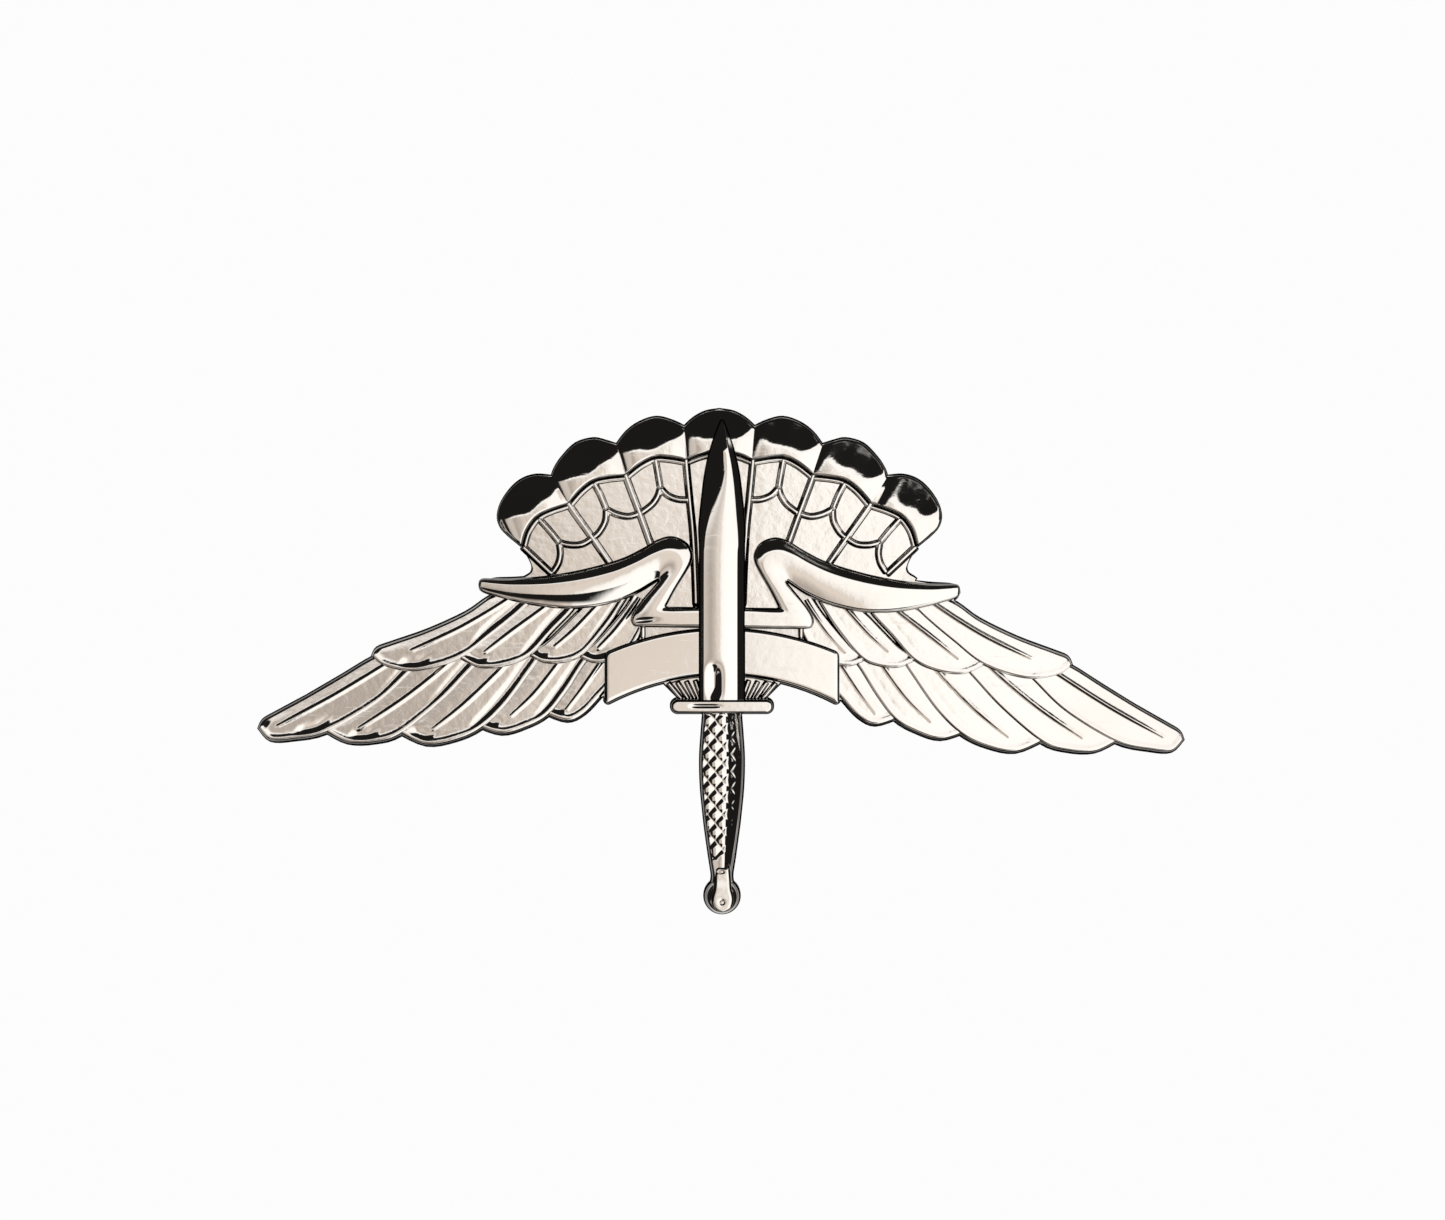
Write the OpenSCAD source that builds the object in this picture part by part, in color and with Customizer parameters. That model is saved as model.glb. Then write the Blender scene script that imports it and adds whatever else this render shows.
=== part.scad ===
// Winged dagger breast badge: a backing plate that carries applied relief pieces,
// two soldered posts, and the two butterfly clutches that hold it to the cloth.
// Frame: X to the wearer's left as seen from the front, +Z up, the face looks along -Y.
// The origin is on the flat back of the plate, on the centre line.

/* [Badge] */
// Width across the wing tips
badge_w = 54; // [45:0.5:65]
// Height from the pommel to the top of the canopy
badge_h = 29.5; // [24.5:0.5:35.5]
// Turn of the two wings about the centre line, clockwise
wing_turn = 0.7; // [0:0.1:1.5]
// Sideways place of the canopy's middle
canopy_shift = -0.15; // [-0.3:0.05:0.3]

/* [Thicknesses] */
// Backing plate
plate_t = 0.8; // [0.6:0.05:1.2]
// How far the backing plate stands out around the applied pieces
plate_rim = 0.1; // [0.05:0.05:0.3]
// Flat cloth panels of the canopy, above the plate
canopy_t = 0.4; // [0.3:0.05:0.8]
// Seam ridges of the canopy, above its panels
ridge_t = 0.2; // [0.1:0.05:0.4]
// Width of a seam ridge
ridge_w = 0.3; // [0.2:0.05:0.5]
// Puffed lobes of the canopy, above its panels
lobe_t = 0.7; // [0.4:0.05:1]
// Lower row of feathers, above the plate
lower_row_t = 0.65; // [0.4:0.05:0.9]
// Upper row of feathers, above the plate
upper_row_t = 1; // [0.7:0.05:1.3]
// Quill ridges, above their feathers
quill_t = 0.1; // [0.05:0.05:0.2]
// Leading edge of the wing, above the plate
arm_t = 1.6; // [1.2:0.05:2.2]
// Blank arched tab, above the plate
tab_t = 1; // [0.7:0.05:1.4]
// Rays under the tab, above the plate
fan_t = 0.55; // [0.3:0.05:0.8]
// Blade, above the plate
blade_t = 2; // [1.6:0.05:2.6]
// Guard, above the plate
guard_t = 2.05; // [1.6:0.05:2.6]
// Grip, above the plate
grip_t = 1.7; // [1.2:0.05:2.2]

/* [Dagger] */
// Width of the blade at the guard
blade_w = 2.7; // [2.2:0.05:3.3]
// Length of the guard
guard_w = 5.9; // [5:0.1:7]
// Height of the guard
guard_h = 0.8; // [0.6:0.05:1]
// Width of the grip at its thickest
grip_w = 2.5; // [2:0.05:3]
// Diameter of the pommel
pommel_d = 2; // [1.6:0.1:2.4]

/* [Tab] */
// Width of the tab between its straight ends
tab_w = 13.7; // [11.4:0.1:16.5]
// Height of the tab's band
tab_h = 2.8; // [2.3:0.1:3.4]
// Radius of the tab's upper edge
tab_r = 17.05; // [14:0.05:21]
// Radius of the tab's corners
tab_corner_r = 0.2; // [0.05:0.05:0.4]

/* [Posts] */
// Distance between the posts
post_spacing = 21.6; // [18:0.1:24]
// Height of the posts above the origin
post_z = 0.15; // [-0.5:0.05:0.5]
// Shaft diameter
post_d = 1.1; // [0.9:0.05:1.4]
// Length from the plate's back to the point
post_len = 8.8; // [8:0.1:10]
// Diameter of the post's foot, sunk into the plate
foot_d = 3.2; // [2.4:0.1:4]
// Thickness of the foot
foot_t = 0.35; // [0.2:0.05:0.5]
// Width of the detent groove in the shaft
groove_w = 0.6; // [0.55:0.05:0.8]
// Depth of the detent groove
groove_depth = 0.18; // [0.16:0.01:0.22]
// Length of the full shaft between the groove and the point
tip_shaft_len = 1.5; // [1:0.1:2]
// Length of the point
point_len = 1; // [0.7:0.1:1.5]

/* [Clutch] */
// Diameter of the clutch's disc
clutch_d = 8; // [7:0.5:9]
// Free space for the cloth, from the plate's back to the disc
cloth_gap = 2.1; // [2.1:0.1:2.6]
// Sheet of the disc
disc_sheet = 0.35; // [0.25:0.05:0.5]
// Height of the disc's turned rim
rim_h = 0.7; // [0.5:0.05:1]
// Diameter of the housing
housing_d = 4.4; // [4:0.1:5.3]
// Height of the housing above the disc
housing_h = 2.5; // [2.4:0.1:3]
// Sheet of the housing
housing_sheet = 0.3; // [0.2:0.05:0.4]
// Sheet of the squeeze wings
wing_sheet = 0.3; // [0.2:0.05:0.4]
// Width of a squeeze wing where it passes the housing's window
wing_neck_w = 2; // [1.6:0.1:2.2]
// Width of a squeeze wing's ear
ear_w = 3.8; // [3:0.1:4.4]
// How far an ear stands out beyond the housing's wall
ear_len = 2.1; // [1.9:0.1:2.4]

/* [Clearances] */
// Between the post and whatever slides on it, at the radius
post_clearance = 0.05; // [0.02:0.01:0.1]
// Around a post's foot in its seat, at the radius
foot_clearance = 0.03; // [0.01:0.01:0.05]
// Around a squeeze wing in its window
window_clearance = 0.15; // [0.1:0.01:0.2]

/* [Hidden] */
$fn = 48;

// The outlines below are drawn for this size and stretched to the badge's own.
drawn_w = 54;
drawn_h = 29.5;
kx = badge_w / drawn_w;
kz = badge_h / drawn_h;

silver = [0.82, 0.80, 0.78];
back_silver = [0.70, 0.69, 0.68];
steel = [0.75, 0.75, 0.76];
brass = [0.83, 0.66, 0.32];

// Rails are drawn for the right-hand side and mirrored for the left. A feather has a leading rail and
// a trailing rail that meet at its tip, and a quill. Feathers run from the outermost to the innermost.
lower_feathers = [
    [[[18.4, 0.35], [20.4, -0.55], [22.2, -1.65], [24.2, -2.85], [26, -3.85], [26.75, -4.3], [27, -4.8]],
     [[16.8, -0.3], [18.05, -1.45], [20, -3.28], [22.95, -5.02], [25, -5.47], [26.3, -5.5], [27, -4.8]],
     [[19.7, -1.1], [22.6, -2.9], [25.8, -4.65]]],
    [[[17, 0.3], [18.6, -1], [20.4, -2.7], [21.8, -3.9], [22.8, -4.5], [23.1, -4.7], [23.15, -4.95]],
     [[13.6, -0.3], [14.55, -1.3], [16.3, -3.15], [18.65, -5.08], [20.2, -5.58], [21.8, -5.6],
        [23.15, -4.95]],
     [[16.1, -1.05], [18.5, -3], [21.1, -4.75]]],
    [[[14, 0.3], [15, -0.8], [16.4, -2.4], [17.6, -3.8], [18.4, -4.5], [18.85, -4.75], [18.9, -4.95]],
     [[10.4, -0.3], [11, -1.2], [12.5, -3.28], [14, -4.7], [15.5, -5.4], [17.2, -5.67], [18.9, -4.95]],
     [[12.95, -1.28], [14.9, -3.2], [16.8, -4.75]]],
    [[[10.4, 0.2], [11.3, -0.8], [12.4, -2.4], [13.4, -3.7], [14, -4.2], [14.25, -4.4], [14.25, -4.55]],
     [[7.4, -0.2], [8, -0.93], [9, -2.5], [10.1, -3.87], [11.4, -4.6], [12.8, -4.98], [14.25, -4.55]],
     [[9.7, -1.05], [10.9, -2.6], [12.25, -3.9]]],
    [[[7.6, 0.3], [8.2, -0.5], [9, -1.9], [9.8, -2.9], [10.2, -3.4], [10.35, -3.6], [10.35, -3.75]],
     [[5.6, -0.2], [6, -1], [6.5, -2.1], [7.05, -2.75], [8, -3.75], [9, -4.18], [10.35, -3.75]],
     [[7.25, -1], [8.1, -2.25], [9, -3.45]]]];
upper_feathers = [
    [[[12.6, 3.5], [13.7, 3.02], [15, 2.12], [17.2, 1.08], [19.3, 0.32], [20.15, -0.02], [20.42, -0.5]],
     [[10.9, 2.9], [11.9, 1.95], [13.4, 0.72], [15.2, -0.62], [17.7, -1.37], [19.6, -1.12], [20.42, -0.5]],
     [[12.6, 2.8], [15.2, 1.2], [18.05, -0.15]]],
    [[[10.4, 3.3], [11.4, 2.7], [12.8, 1.7], [14.1, 0.65], [14.9, 0.05], [15.25, -0.35], [15.25, -0.65]],
     [[8.2, 2.9], [8.8, 2.1], [9.8, 1.05], [11.15, -0.4], [12.6, -1.03], [14.1, -1.15], [15.25, -0.65]],
     [[10.4, 2.4], [12.2, 1.05], [13.8, -0.2]]],
    [[[7.4, 3.2], [8.2, 2.6], [9.2, 1.6], [10.2, 0.6], [10.9, 0.1], [11.2, -0.2], [11.2, -0.45]],
     [[5.5, 3.1], [5.8, 2.6], [6.6, 1.4], [8, -0.25], [9.1, -0.76], [10.3, -0.82], [11.2, -0.45]],
     [[7.5, 2.35], [8.6, 1.17], [9.7, 0.2]]],
    [[[5.3, 3.3], [5.8, 2.5], [6.6, 1.5], [7.5, 0.5], [8.1, 0], [8.3, -0.25], [8.25, -0.5]],
     [[4.3, 2.9], [4.3, 2], [4.6, 1.1], [5.2, 0.1], [6.1, -0.6], [7.4, -0.78], [8.25, -0.5]],
     [[5.25, 2.5], [6.15, 1.25], [7.2, 0.1]]]];

// Leading edge: down the top of the arm to the inner corner, and along its underside to the crotch
// and the knee.
arm_top = [[13.8, 3.65], [13.7, 3.95], [13.2, 4.1], [12, 4.16], [10, 4.38], [8, 4.78], [6, 5.38], [4.7, 6.02],
    [3.8, 6.55], [3, 6.74], [2.2, 6.45], [1.8, 5.85], [1.8, 5.3], [2.1, 4.65], [2.65, 3.72], [3.2, 2.68]];
arm_underside = [[13.8, 3.65], [13.6, 3.3], [13, 3.05], [12, 2.77], [10.5, 2.47], [9, 2.37], [7.6, 2.48],
    [6.2, 2.8],
    [4.9, 3.35], [3.75, 4.1]];
forearm_outside = [[3.75, 4.1], [4.4, 3.35], [5, 2.6], [5.32, 2.05], [5.3, 1.65], [4.95, 1.4]];
foot_top_z = 2.62;
foot_bottom_z = 1.38;

// Canopy: the rounded edge of each lobe, from the middle outwards, and the scallop under it.
lobe_edges = [
    [[0, 14.15], [0.8, 14.02], [1.5, 13.65], [2.05, 13.15]],
    [[2.05, 13.15], [2.75, 13.48], [3.7, 13.7], [4.7, 13.38], [5.45, 12.82], [6, 12.1]],
    [[6, 12.1], [6.7, 12.32], [7.4, 12.45], [8.4, 12.15], [9.2, 11.35], [9.62, 10.7], [9.78, 10.25]],
    [[9.78, 10.25], [10.7, 10.32], [11.5, 10.08], [12.15, 9.55], [12.7, 8.75], [12.92, 8], [12.8, 7.4],
     [12.4, 6.9], [11.5, 6.15]]];
scallops = [
    [[0, 11.7], [1, 11.55], [1.95, 11.2]],
    [[1.95, 11.2], [3, 11.37], [3.8, 11.38], [4.6, 11], [5.47, 10.32]],
    [[5.47, 10.32], [6.7, 10.18], [7.4, 9.98], [8.1, 9.45], [8.8, 8.65]],
    [[8.8, 8.65], [9.9, 8.28], [10.65, 7.88], [11.2, 7.15], [11.5, 6.2]]];
// Seams run down the cloth, and each panel is halved by a short seam that forks into two arcs.
seams = [
    [[2.05, 13.15], [1.95, 11.2], [1.75, 9], [1.55, 7], [1.4, 4]],
    [[6, 12.1], [5.47, 10.32], [4.65, 8.1], [3.9, 6]],
    [[9.78, 10.25], [8.8, 8.65], [7.4, 6.65], [6.2, 4.9]],
    [[11.5, 6.2], [9.7, 4.5]]];
half_seams = [
    [[3.75, 11.35], [3.6, 10.5], [3.45, 9.6]],
    [[7.35, 9.95], [6.95, 9.2], [6.6, 8.35]],
    [[10.6, 7.85], [9.9, 7.1], [9.35, 6.4]]];
forks = [
    [[3.45, 9.6], [3, 9.15], [2.4, 8.92], [1.75, 8.9]],
    [[3.45, 9.6], [3.6, 9.1], [3.95, 8.6], [4.6, 8.1]],
    [[6.6, 8.35], [6, 8.05], [5.3, 7.92], [4.65, 8.1]],
    [[6.6, 8.35], [6.65, 7.65], [7, 7], [7.4, 6.65]],
    [[9.35, 6.4], [8.7, 6.25], [8, 6.3], [7.4, 6.65]],
    [[9.35, 6.4], [9.27, 5.75], [9.4, 5.15], [9.75, 4.6]]];
// How far a puffed lobe stands in from its outline and its seams.
lobe_inset = 0.08;
canopy_foot = [[9.2, 4.1], [7, 4.2], [5.5, 4.35], [3.8, 4.9], [3.2, 3.4], [3.4, 2.2], [2.5, 2], [0, 2]];
canopy_web = [[11.5, 6.15], [11.1, 5.5], [10.9, 5], [11, 4.6], [11.4, 4.2], [9.5, 4], [9.7, 4.5]];

// Edges of the blade and the grip: the share of the width at heights along the dagger.
blade_edge = [[1, -2.75], [1, 2], [1, 6.2], [1.03, 7.2], [0.97, 8.2], [0.89, 9.2], [0.8, 10.2], [0.66, 11.2],
    [0.5, 12], [0.3, 12.8], [0.13, 13.4], [0, 13.65]];
guard_top_z = -2.75;
grip_edge = [[0.84, -3.3], [0.94, -4.9], [1, -6.3], [0.96, -8], [0.8, -10], [0.58, -12], [0.46, -13],
    [0.5, -13.5]];
pommel_top_z = -13.25;
tab_top_z = 1.42;

// Fan: rays that draw together towards the guard.
fan_top_half = 3.3;
fan_bottom_half = 2.45;
fan_side_z = -1.9;
fan_top_z = -1;
fan_rays = 9;
ray_w = 0.16;

// Solid floor of the plate behind the crossing of arms, tab and blade.
floor_outline = [[-6, 3.4], [-1, 5], [1, 5], [6, 3.4], [6, 0], [-6, 0]];

// A smooth curve through every point of a list.
function curve_point(a, b, c, d, t) =
    0.5 * (2 * b + (c - a) * t + (2 * a - 5 * b + 4 * c - d) * t * t + (3 * b - a - 3 * c + d) * t * t * t);
function smooth(p, steps = 4) = concat(
    [for (i = [0:len(p) - 2], k = [0:steps - 1])
        curve_point(p[max(i - 1, 0)], p[i], p[i + 1], p[min(i + 2, len(p) - 1)], k / steps)],
    [p[len(p) - 1]]);
function reversed(p) = [for (i = [len(p) - 1:-1:0]) p[i]];
function flipped(p) = [for (q = p) [-q[0], q[1]]];
function unit(v) = v / norm(v);
function side_of(p, i) = let (d = unit(p[min(i + 1, len(p) - 1)] - p[max(i - 1, 0)])) [-d[1], d[0]];
// A band of one width along a line.
function band(p, w) = concat(
    [for (i = [0:len(p) - 1]) p[i] + side_of(p, i) * w / 2],
    [for (i = [len(p) - 1:-1:0]) p[i] - side_of(p, i) * w / 2]);

// Stands an outline up in the badge's plane, with its relief towards the face between two levels.
module relief(low, high) {
    translate([0, -low, 0]) rotate([90, 0, 0]) linear_extrude(high - low) children();
}
// Makes one clean outline out of overlapping ones.
module merged() {
    offset(delta = 0) children();
}
module stretched() {
    scale([kx, kz]) children();
}
module both_sides() {
    children();
    mirror([1, 0]) children();
}
module wing_side(side) {
    stretched() rotate(-wing_turn) mirror([side < 0 ? 1 : 0, 0]) children();
}
module canopy_side() {
    stretched() translate([canopy_shift, 0]) both_sides() children();
}

// Outlines.
module feather_row(row, side) {
    wing_side(side) for (f = row) polygon(concat(smooth(f[0]), reversed(smooth(f[1]))));
}
module quills(row, side) {
    wing_side(side) for (f = row) polygon(band(smooth(f[2]), ridge_w * 0.6));
}
module arm_outline(side) {
    wing_side(side) polygon(concat(smooth(arm_top), [[1, foot_top_z], [1, foot_bottom_z]],
        reversed(smooth(forearm_outside)), reversed(smooth(arm_underside))));
}
module canopy_outline() {
    edge = [for (l = lobe_edges) each smooth(l)];
    middle = [[-0.01, 2], [-0.01, lobe_edges[0][0][1]]];
    canopy_side() polygon(concat(edge, smooth(canopy_web), canopy_foot, middle));
}
module lobe_outlines() {
    canopy_side() for (i = [0:len(lobe_edges) - 1])
        polygon(concat(smooth(lobe_edges[i]), reversed(smooth(scallops[i]))));
}
module ridge_outlines() {
    canopy_side() for (line = concat(seams, half_seams, forks)) polygon(band(smooth(line), ridge_w));
}
module tab_outline() {
    offset(r = tab_corner_r) offset(r = -tab_corner_r) intersection() {
        translate([0, tab_top_z * kz - tab_r]) difference() {
            circle(r = tab_r, $fn = 160);
            circle(r = tab_r - tab_h, $fn = 160);
        }
        translate([-tab_w / 2, -tab_r / 2]) square([tab_w, tab_r]);
    }
}
module dagger_profile(edge, width) {
    right = [for (p = smooth(edge)) [p[0] * width / 2, p[1] * kz]];
    polygon(concat(right, reversed(flipped(right))));
}
module blade_outline() {
    dagger_profile(blade_edge, blade_w);
}
module grip_outline() {
    dagger_profile(grip_edge, grip_w);
}
module guard_outline() {
    r = guard_h * 0.45;
    translate([0, guard_top_z * kz - guard_h / 2]) offset(r = r)
        square([guard_w - 2 * r, guard_h - 2 * r], center = true);
}
module pommel_outline() {
    translate([0, pommel_top_z * kz - pommel_d / 2]) circle(d = pommel_d);
}
module fan_outline() {
    stretched() polygon([[-fan_top_half, fan_side_z], [-fan_bottom_half, guard_top_z],
        [fan_bottom_half, guard_top_z], [fan_top_half, fan_side_z], [0, fan_top_z]]);
}

// Front relief.
module backing_plate() color(back_silver) difference() {
    relief(0, plate_t) offset(delta = plate_rim) {
        canopy_outline();
        for (side = [-1, 1]) {
            feather_row(lower_feathers, side);
            feather_row(upper_feathers, side);
            arm_outline(side);
        }
        tab_outline();
        fan_outline();
        blade_outline();
        guard_outline();
        grip_outline();
        pommel_outline();
        stretched() polygon(floor_outline);
    }
    for (side = [-1, 1]) at_post(side, -foot_t) cylinder(d = foot_d + 2 * foot_clearance, h = foot_t + 1);
}

// The arms and the blade are soldered straight to the plate, so the canopy stops at them.
module clear_of_front_pieces() difference() {
    children();
    for (side = [-1, 1]) arm_outline(side);
    blade_outline();
}
module canopy() color(silver) {
    panel_top = plate_t + canopy_t;
    relief(plate_t, panel_top) merged() clear_of_front_pieces() canopy_outline();
    relief(panel_top, panel_top + lobe_t) clear_of_front_pieces() offset(delta = -lobe_inset) lobe_outlines();
    relief(panel_top, panel_top + ridge_t) merged() clear_of_front_pieces() intersection() {
        ridge_outlines();
        offset(delta = -lobe_inset / 2) canopy_outline();
    }
}

// A row of feathers with its quills. What lies over the row is passed in, and the row stops at it.
module feathers(row, side, row_t) color(silver) {
    top = plate_t + row_t;
    relief(plate_t, top) merged() difference() {
        feather_row(row, side);
        children();
    }
    relief(top, top + quill_t) merged() difference() {
        quills(row, side);
        children();
    }
}
module lower_row(side) feathers(lower_feathers, side, lower_row_t) {
    feather_row(upper_feathers, side);
    arm_outline(side);
    tab_outline();
}
module upper_row(side) feathers(upper_feathers, side, upper_row_t) {
    arm_outline(side);
    tab_outline();
}

module wing_arm(side) color(silver) relief(plate_t, plate_t + arm_t) merged() difference() {
    arm_outline(side);
    blade_outline();
    tab_outline();
}

module arched_tab() color(silver) relief(plate_t, plate_t + tab_t) tab_outline();

module ray_fan() color(silver) {
    sheet_top = plate_t + fan_t * 0.6;
    relief(plate_t, sheet_top) difference() {
        fan_outline();
        tab_outline();
    }
    relief(sheet_top, plate_t + fan_t) merged() difference() {
        intersection() {
            fan_outline();
            stretched() for (i = [0:fan_rays - 1]) {
                x = (2 * i / (fan_rays - 1) - 1) * (fan_top_half - ray_w);
                foot_x = x * fan_bottom_half / fan_top_half;
                polygon(band([[x, fan_top_z], [foot_x, guard_top_z]], ray_w));
            }
        }
        tab_outline();
    }
}

// The blade lies over the tab and the fan.
module dagger_blade() color(silver) difference() {
    relief(plate_t, plate_t + blade_t) blade_outline();
    arched_tab();
    ray_fan();
}

module dagger_guard() color(silver) relief(plate_t, plate_t + guard_t) guard_outline();

module dagger_grip() color(silver) relief(plate_t, plate_t + grip_t) merged() difference() {
    grip_outline();
    guard_outline();
    pommel_outline();
}

module dagger_pommel() color(silver) relief(plate_t, plate_t + grip_t) pommel_outline();

// Fastening: everything here is turned about a post's axis, which points out of the back.
module at_post(side, y = 0) {
    translate([side * post_spacing / 2, y, post_z]) rotate([-90, 0, 0]) children();
}

module post(side) color(steel) at_post(side) {
    r = post_d / 2;
    groove_top = post_len - point_len - tip_shaft_len;
    rotate_extrude() polygon([[0, -foot_t], [foot_d / 2, -foot_t], [foot_d / 2, 0], [r, 0],
        [r, groove_top - groove_w], [r - groove_depth, groove_top - groove_w * 0.75],
        [r - groove_depth, groove_top - groove_w * 0.25], [r, groove_top],
        [r, post_len - point_len], [r * 0.2, post_len - 0.05], [0, post_len]]);
}

module clutch_disc(side) color(brass) at_post(side, cloth_gap) {
    r = clutch_d / 2;
    bore_r = post_d / 2 + post_clearance;
    difference() {
        rotate_extrude() polygon([[0, rim_h - disc_sheet], [r - disc_sheet - 0.15, rim_h - disc_sheet],
            [r - disc_sheet, rim_h - disc_sheet - 0.15], [r - disc_sheet, 0], [r, 0],
            [r, rim_h - 0.25], [r - 0.25, rim_h], [0, rim_h]]);
        translate([0, 0, -1]) cylinder(r = bore_r, h = rim_h + 2);
    }
    for (i = [0:5]) rotate(60 * i) translate([r * 0.6, 0, rim_h - disc_sheet]) mirror([0, 0, 1])
        cylinder(r1 = 0.3, r2 = 0.12, h = 0.25, $fn = 24);
}

module clutch_housing(side) color(brass) at_post(side, cloth_gap + rim_h) {
    r = housing_d / 2;
    ceiling = housing_h - housing_sheet;
    window_w = wing_neck_w + 2 * window_clearance;
    difference() {
        rotate_extrude() polygon([[0, ceiling], [r - housing_sheet - 0.2, ceiling],
            [r - housing_sheet, ceiling - 0.2], [r - housing_sheet, 0], [r, 0],
            [r, housing_h - 0.4], [r - 0.4, housing_h], [0, housing_h]]);
        translate([0, 0, -1]) cylinder(r = post_d / 2 + post_clearance, h = housing_h + 2);
        translate([-housing_d, -window_w / 2, -1]) cube([2 * housing_d, window_w, 1 + window_top]);
    }
}

// A squeeze wing is a sloping strip: its jaw bears on the post, its fold rocks in the window of the
// housing, and its ear is pressed towards the post to open the jaw.
pivot_h = housing_h - 1.15;
pivot_x = housing_d / 2 - 0.35;
fold_r = 0.28;
ear_reach = housing_d / 2 + ear_len;
ear_bend = 1.15;
jaw_h = pivot_h - 0.65;
ear_h = pivot_h + 1.7;
window_top = housing_h - housing_sheet - 0.1;
module clutch_wing(side, way) color(brass) at_post(side, cloth_gap + rim_h) mirror([way < 0 ? 1 : 0, 0, 0]) {
    line = smooth([[0.2, jaw_h - 0.1], [0.9, jaw_h + 0.15], [pivot_x, pivot_h],
        [pivot_x + ear_bend, pivot_h + 0.75], [ear_reach + 0.1, ear_h]]);
    difference() {
        intersection() {
            rotate([90, 0, 0]) translate([0, 0, -ear_w / 2]) linear_extrude(ear_w)
                polygon(band(line, wing_sheet));
            linear_extrude(ear_h + 1) merged() {
                translate([0, -wing_neck_w / 2]) square([housing_d / 2 + 0.3, wing_neck_w]);
                ear_outline();
            }
        }
        translate([0, 0, -1]) cylinder(r = post_d / 2 + post_clearance, h = ear_h + 3);
        translate([-2, -wing_neck_w, -1]) cube([2.15, 2 * wing_neck_w, ear_h + 2]);
    }
    translate([pivot_x, 0, pivot_h]) rotate([90, 0, 0]) cylinder(r = fold_r, h = wing_neck_w, center = true);
}
module ear_outline() {
    corner_r = ear_w * 0.3;
    hull() {
        translate([housing_d / 2 + 0.45, 0]) circle(d = wing_neck_w);
        for (y = [-1, 1]) translate([ear_reach - corner_r, y * (ear_w / 2 - corner_r)]) circle(r = corner_r);
    }
}

backing_plate();
canopy();
lower_row(-1);  // left_lower_feathers
lower_row(1);  // right_lower_feathers
upper_row(-1);  // left_upper_feathers
upper_row(1);  // right_upper_feathers
wing_arm(-1);  // left_wing_arm
wing_arm(1);  // right_wing_arm
arched_tab();
ray_fan();
dagger_blade();
dagger_guard();
dagger_grip();
dagger_pommel();
post(-1);  // left_post
post(1);  // right_post
clutch_disc(-1);  // left_clutch_disc
clutch_housing(-1);  // left_clutch_housing
clutch_wing(-1, 1);  // left_clutch_inner_wing
clutch_wing(-1, -1);  // left_clutch_outer_wing
clutch_disc(1);  // right_clutch_disc
clutch_housing(1);  // right_clutch_housing
clutch_wing(1, -1);  // right_clutch_inner_wing
clutch_wing(1, 1);  // right_clutch_outer_wing
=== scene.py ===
# %% [markdown]
# A winged dagger breast badge, built around its measured frame. The frame brings every solid of the
# badge at its real size: a backing plate, applied relief, two posts and two butterfly clutches. The
# posts and clutches keep their frame shape and get a finish. The relief is rebuilt here as crowned,
# domed and ribbed surfaces, because a mirror finish shows every curve of the metal.

# %% Load the frame
import bmesh
import bpy
import numpy as np
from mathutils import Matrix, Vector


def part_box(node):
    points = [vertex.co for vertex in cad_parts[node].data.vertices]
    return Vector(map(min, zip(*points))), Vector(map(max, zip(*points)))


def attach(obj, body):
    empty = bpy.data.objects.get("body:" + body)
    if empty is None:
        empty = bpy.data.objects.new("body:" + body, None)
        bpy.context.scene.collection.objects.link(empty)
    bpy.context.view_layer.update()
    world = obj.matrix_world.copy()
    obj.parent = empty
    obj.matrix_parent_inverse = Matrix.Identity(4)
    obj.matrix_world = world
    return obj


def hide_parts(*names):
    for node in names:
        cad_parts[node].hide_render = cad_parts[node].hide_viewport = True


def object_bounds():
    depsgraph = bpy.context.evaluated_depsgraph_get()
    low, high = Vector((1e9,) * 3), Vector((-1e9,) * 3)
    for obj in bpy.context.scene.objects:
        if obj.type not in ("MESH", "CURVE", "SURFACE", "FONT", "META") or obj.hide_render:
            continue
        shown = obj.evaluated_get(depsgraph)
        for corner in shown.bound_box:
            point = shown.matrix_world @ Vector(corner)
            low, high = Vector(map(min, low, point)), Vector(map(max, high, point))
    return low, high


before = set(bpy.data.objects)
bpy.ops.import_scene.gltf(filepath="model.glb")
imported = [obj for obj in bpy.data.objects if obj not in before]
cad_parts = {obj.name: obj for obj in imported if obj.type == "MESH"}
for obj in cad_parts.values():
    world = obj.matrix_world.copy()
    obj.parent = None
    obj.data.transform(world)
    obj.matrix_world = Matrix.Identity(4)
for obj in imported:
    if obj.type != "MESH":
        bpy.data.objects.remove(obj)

frame_low, frame_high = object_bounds()

# %% [markdown]
# A die is cut in plan first and in depth second, and the same order works here. Points are written in
# millimetres on the plan: x to the right and z up. The outlines are drawn for a badge 54 mm wide and
# 29.5 mm high, and stretched to whatever size the frame has. Height stands out of the plate's front.

# %% Plan and height
MM = 0.001
DRAWN_WIDTH, DRAWN_HEIGHT = 54.0, 29.5
plate_low, plate_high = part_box("backing_plate")
plate_front = -plate_low[1] / MM
plate_rim = 0.1
stretch = np.array([(plate_high[0] - plate_low[0]) / MM - 2 * plate_rim,
                    (plate_high[2] - plate_low[2]) / MM - 2 * plate_rim]) / [DRAWN_WIDTH, DRAWN_HEIGHT]
WING_TURN = np.radians(0.7)
CANOPY_SHIFT = -0.15
print("the plate's front stands", round(plate_front, 3), "mm out, stretch", stretch.round(3))


def top_of(node):
    """How far a frame solid stands out of the plate's front, in mm."""
    return -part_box(node)[0][1] / MM - plate_front


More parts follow.
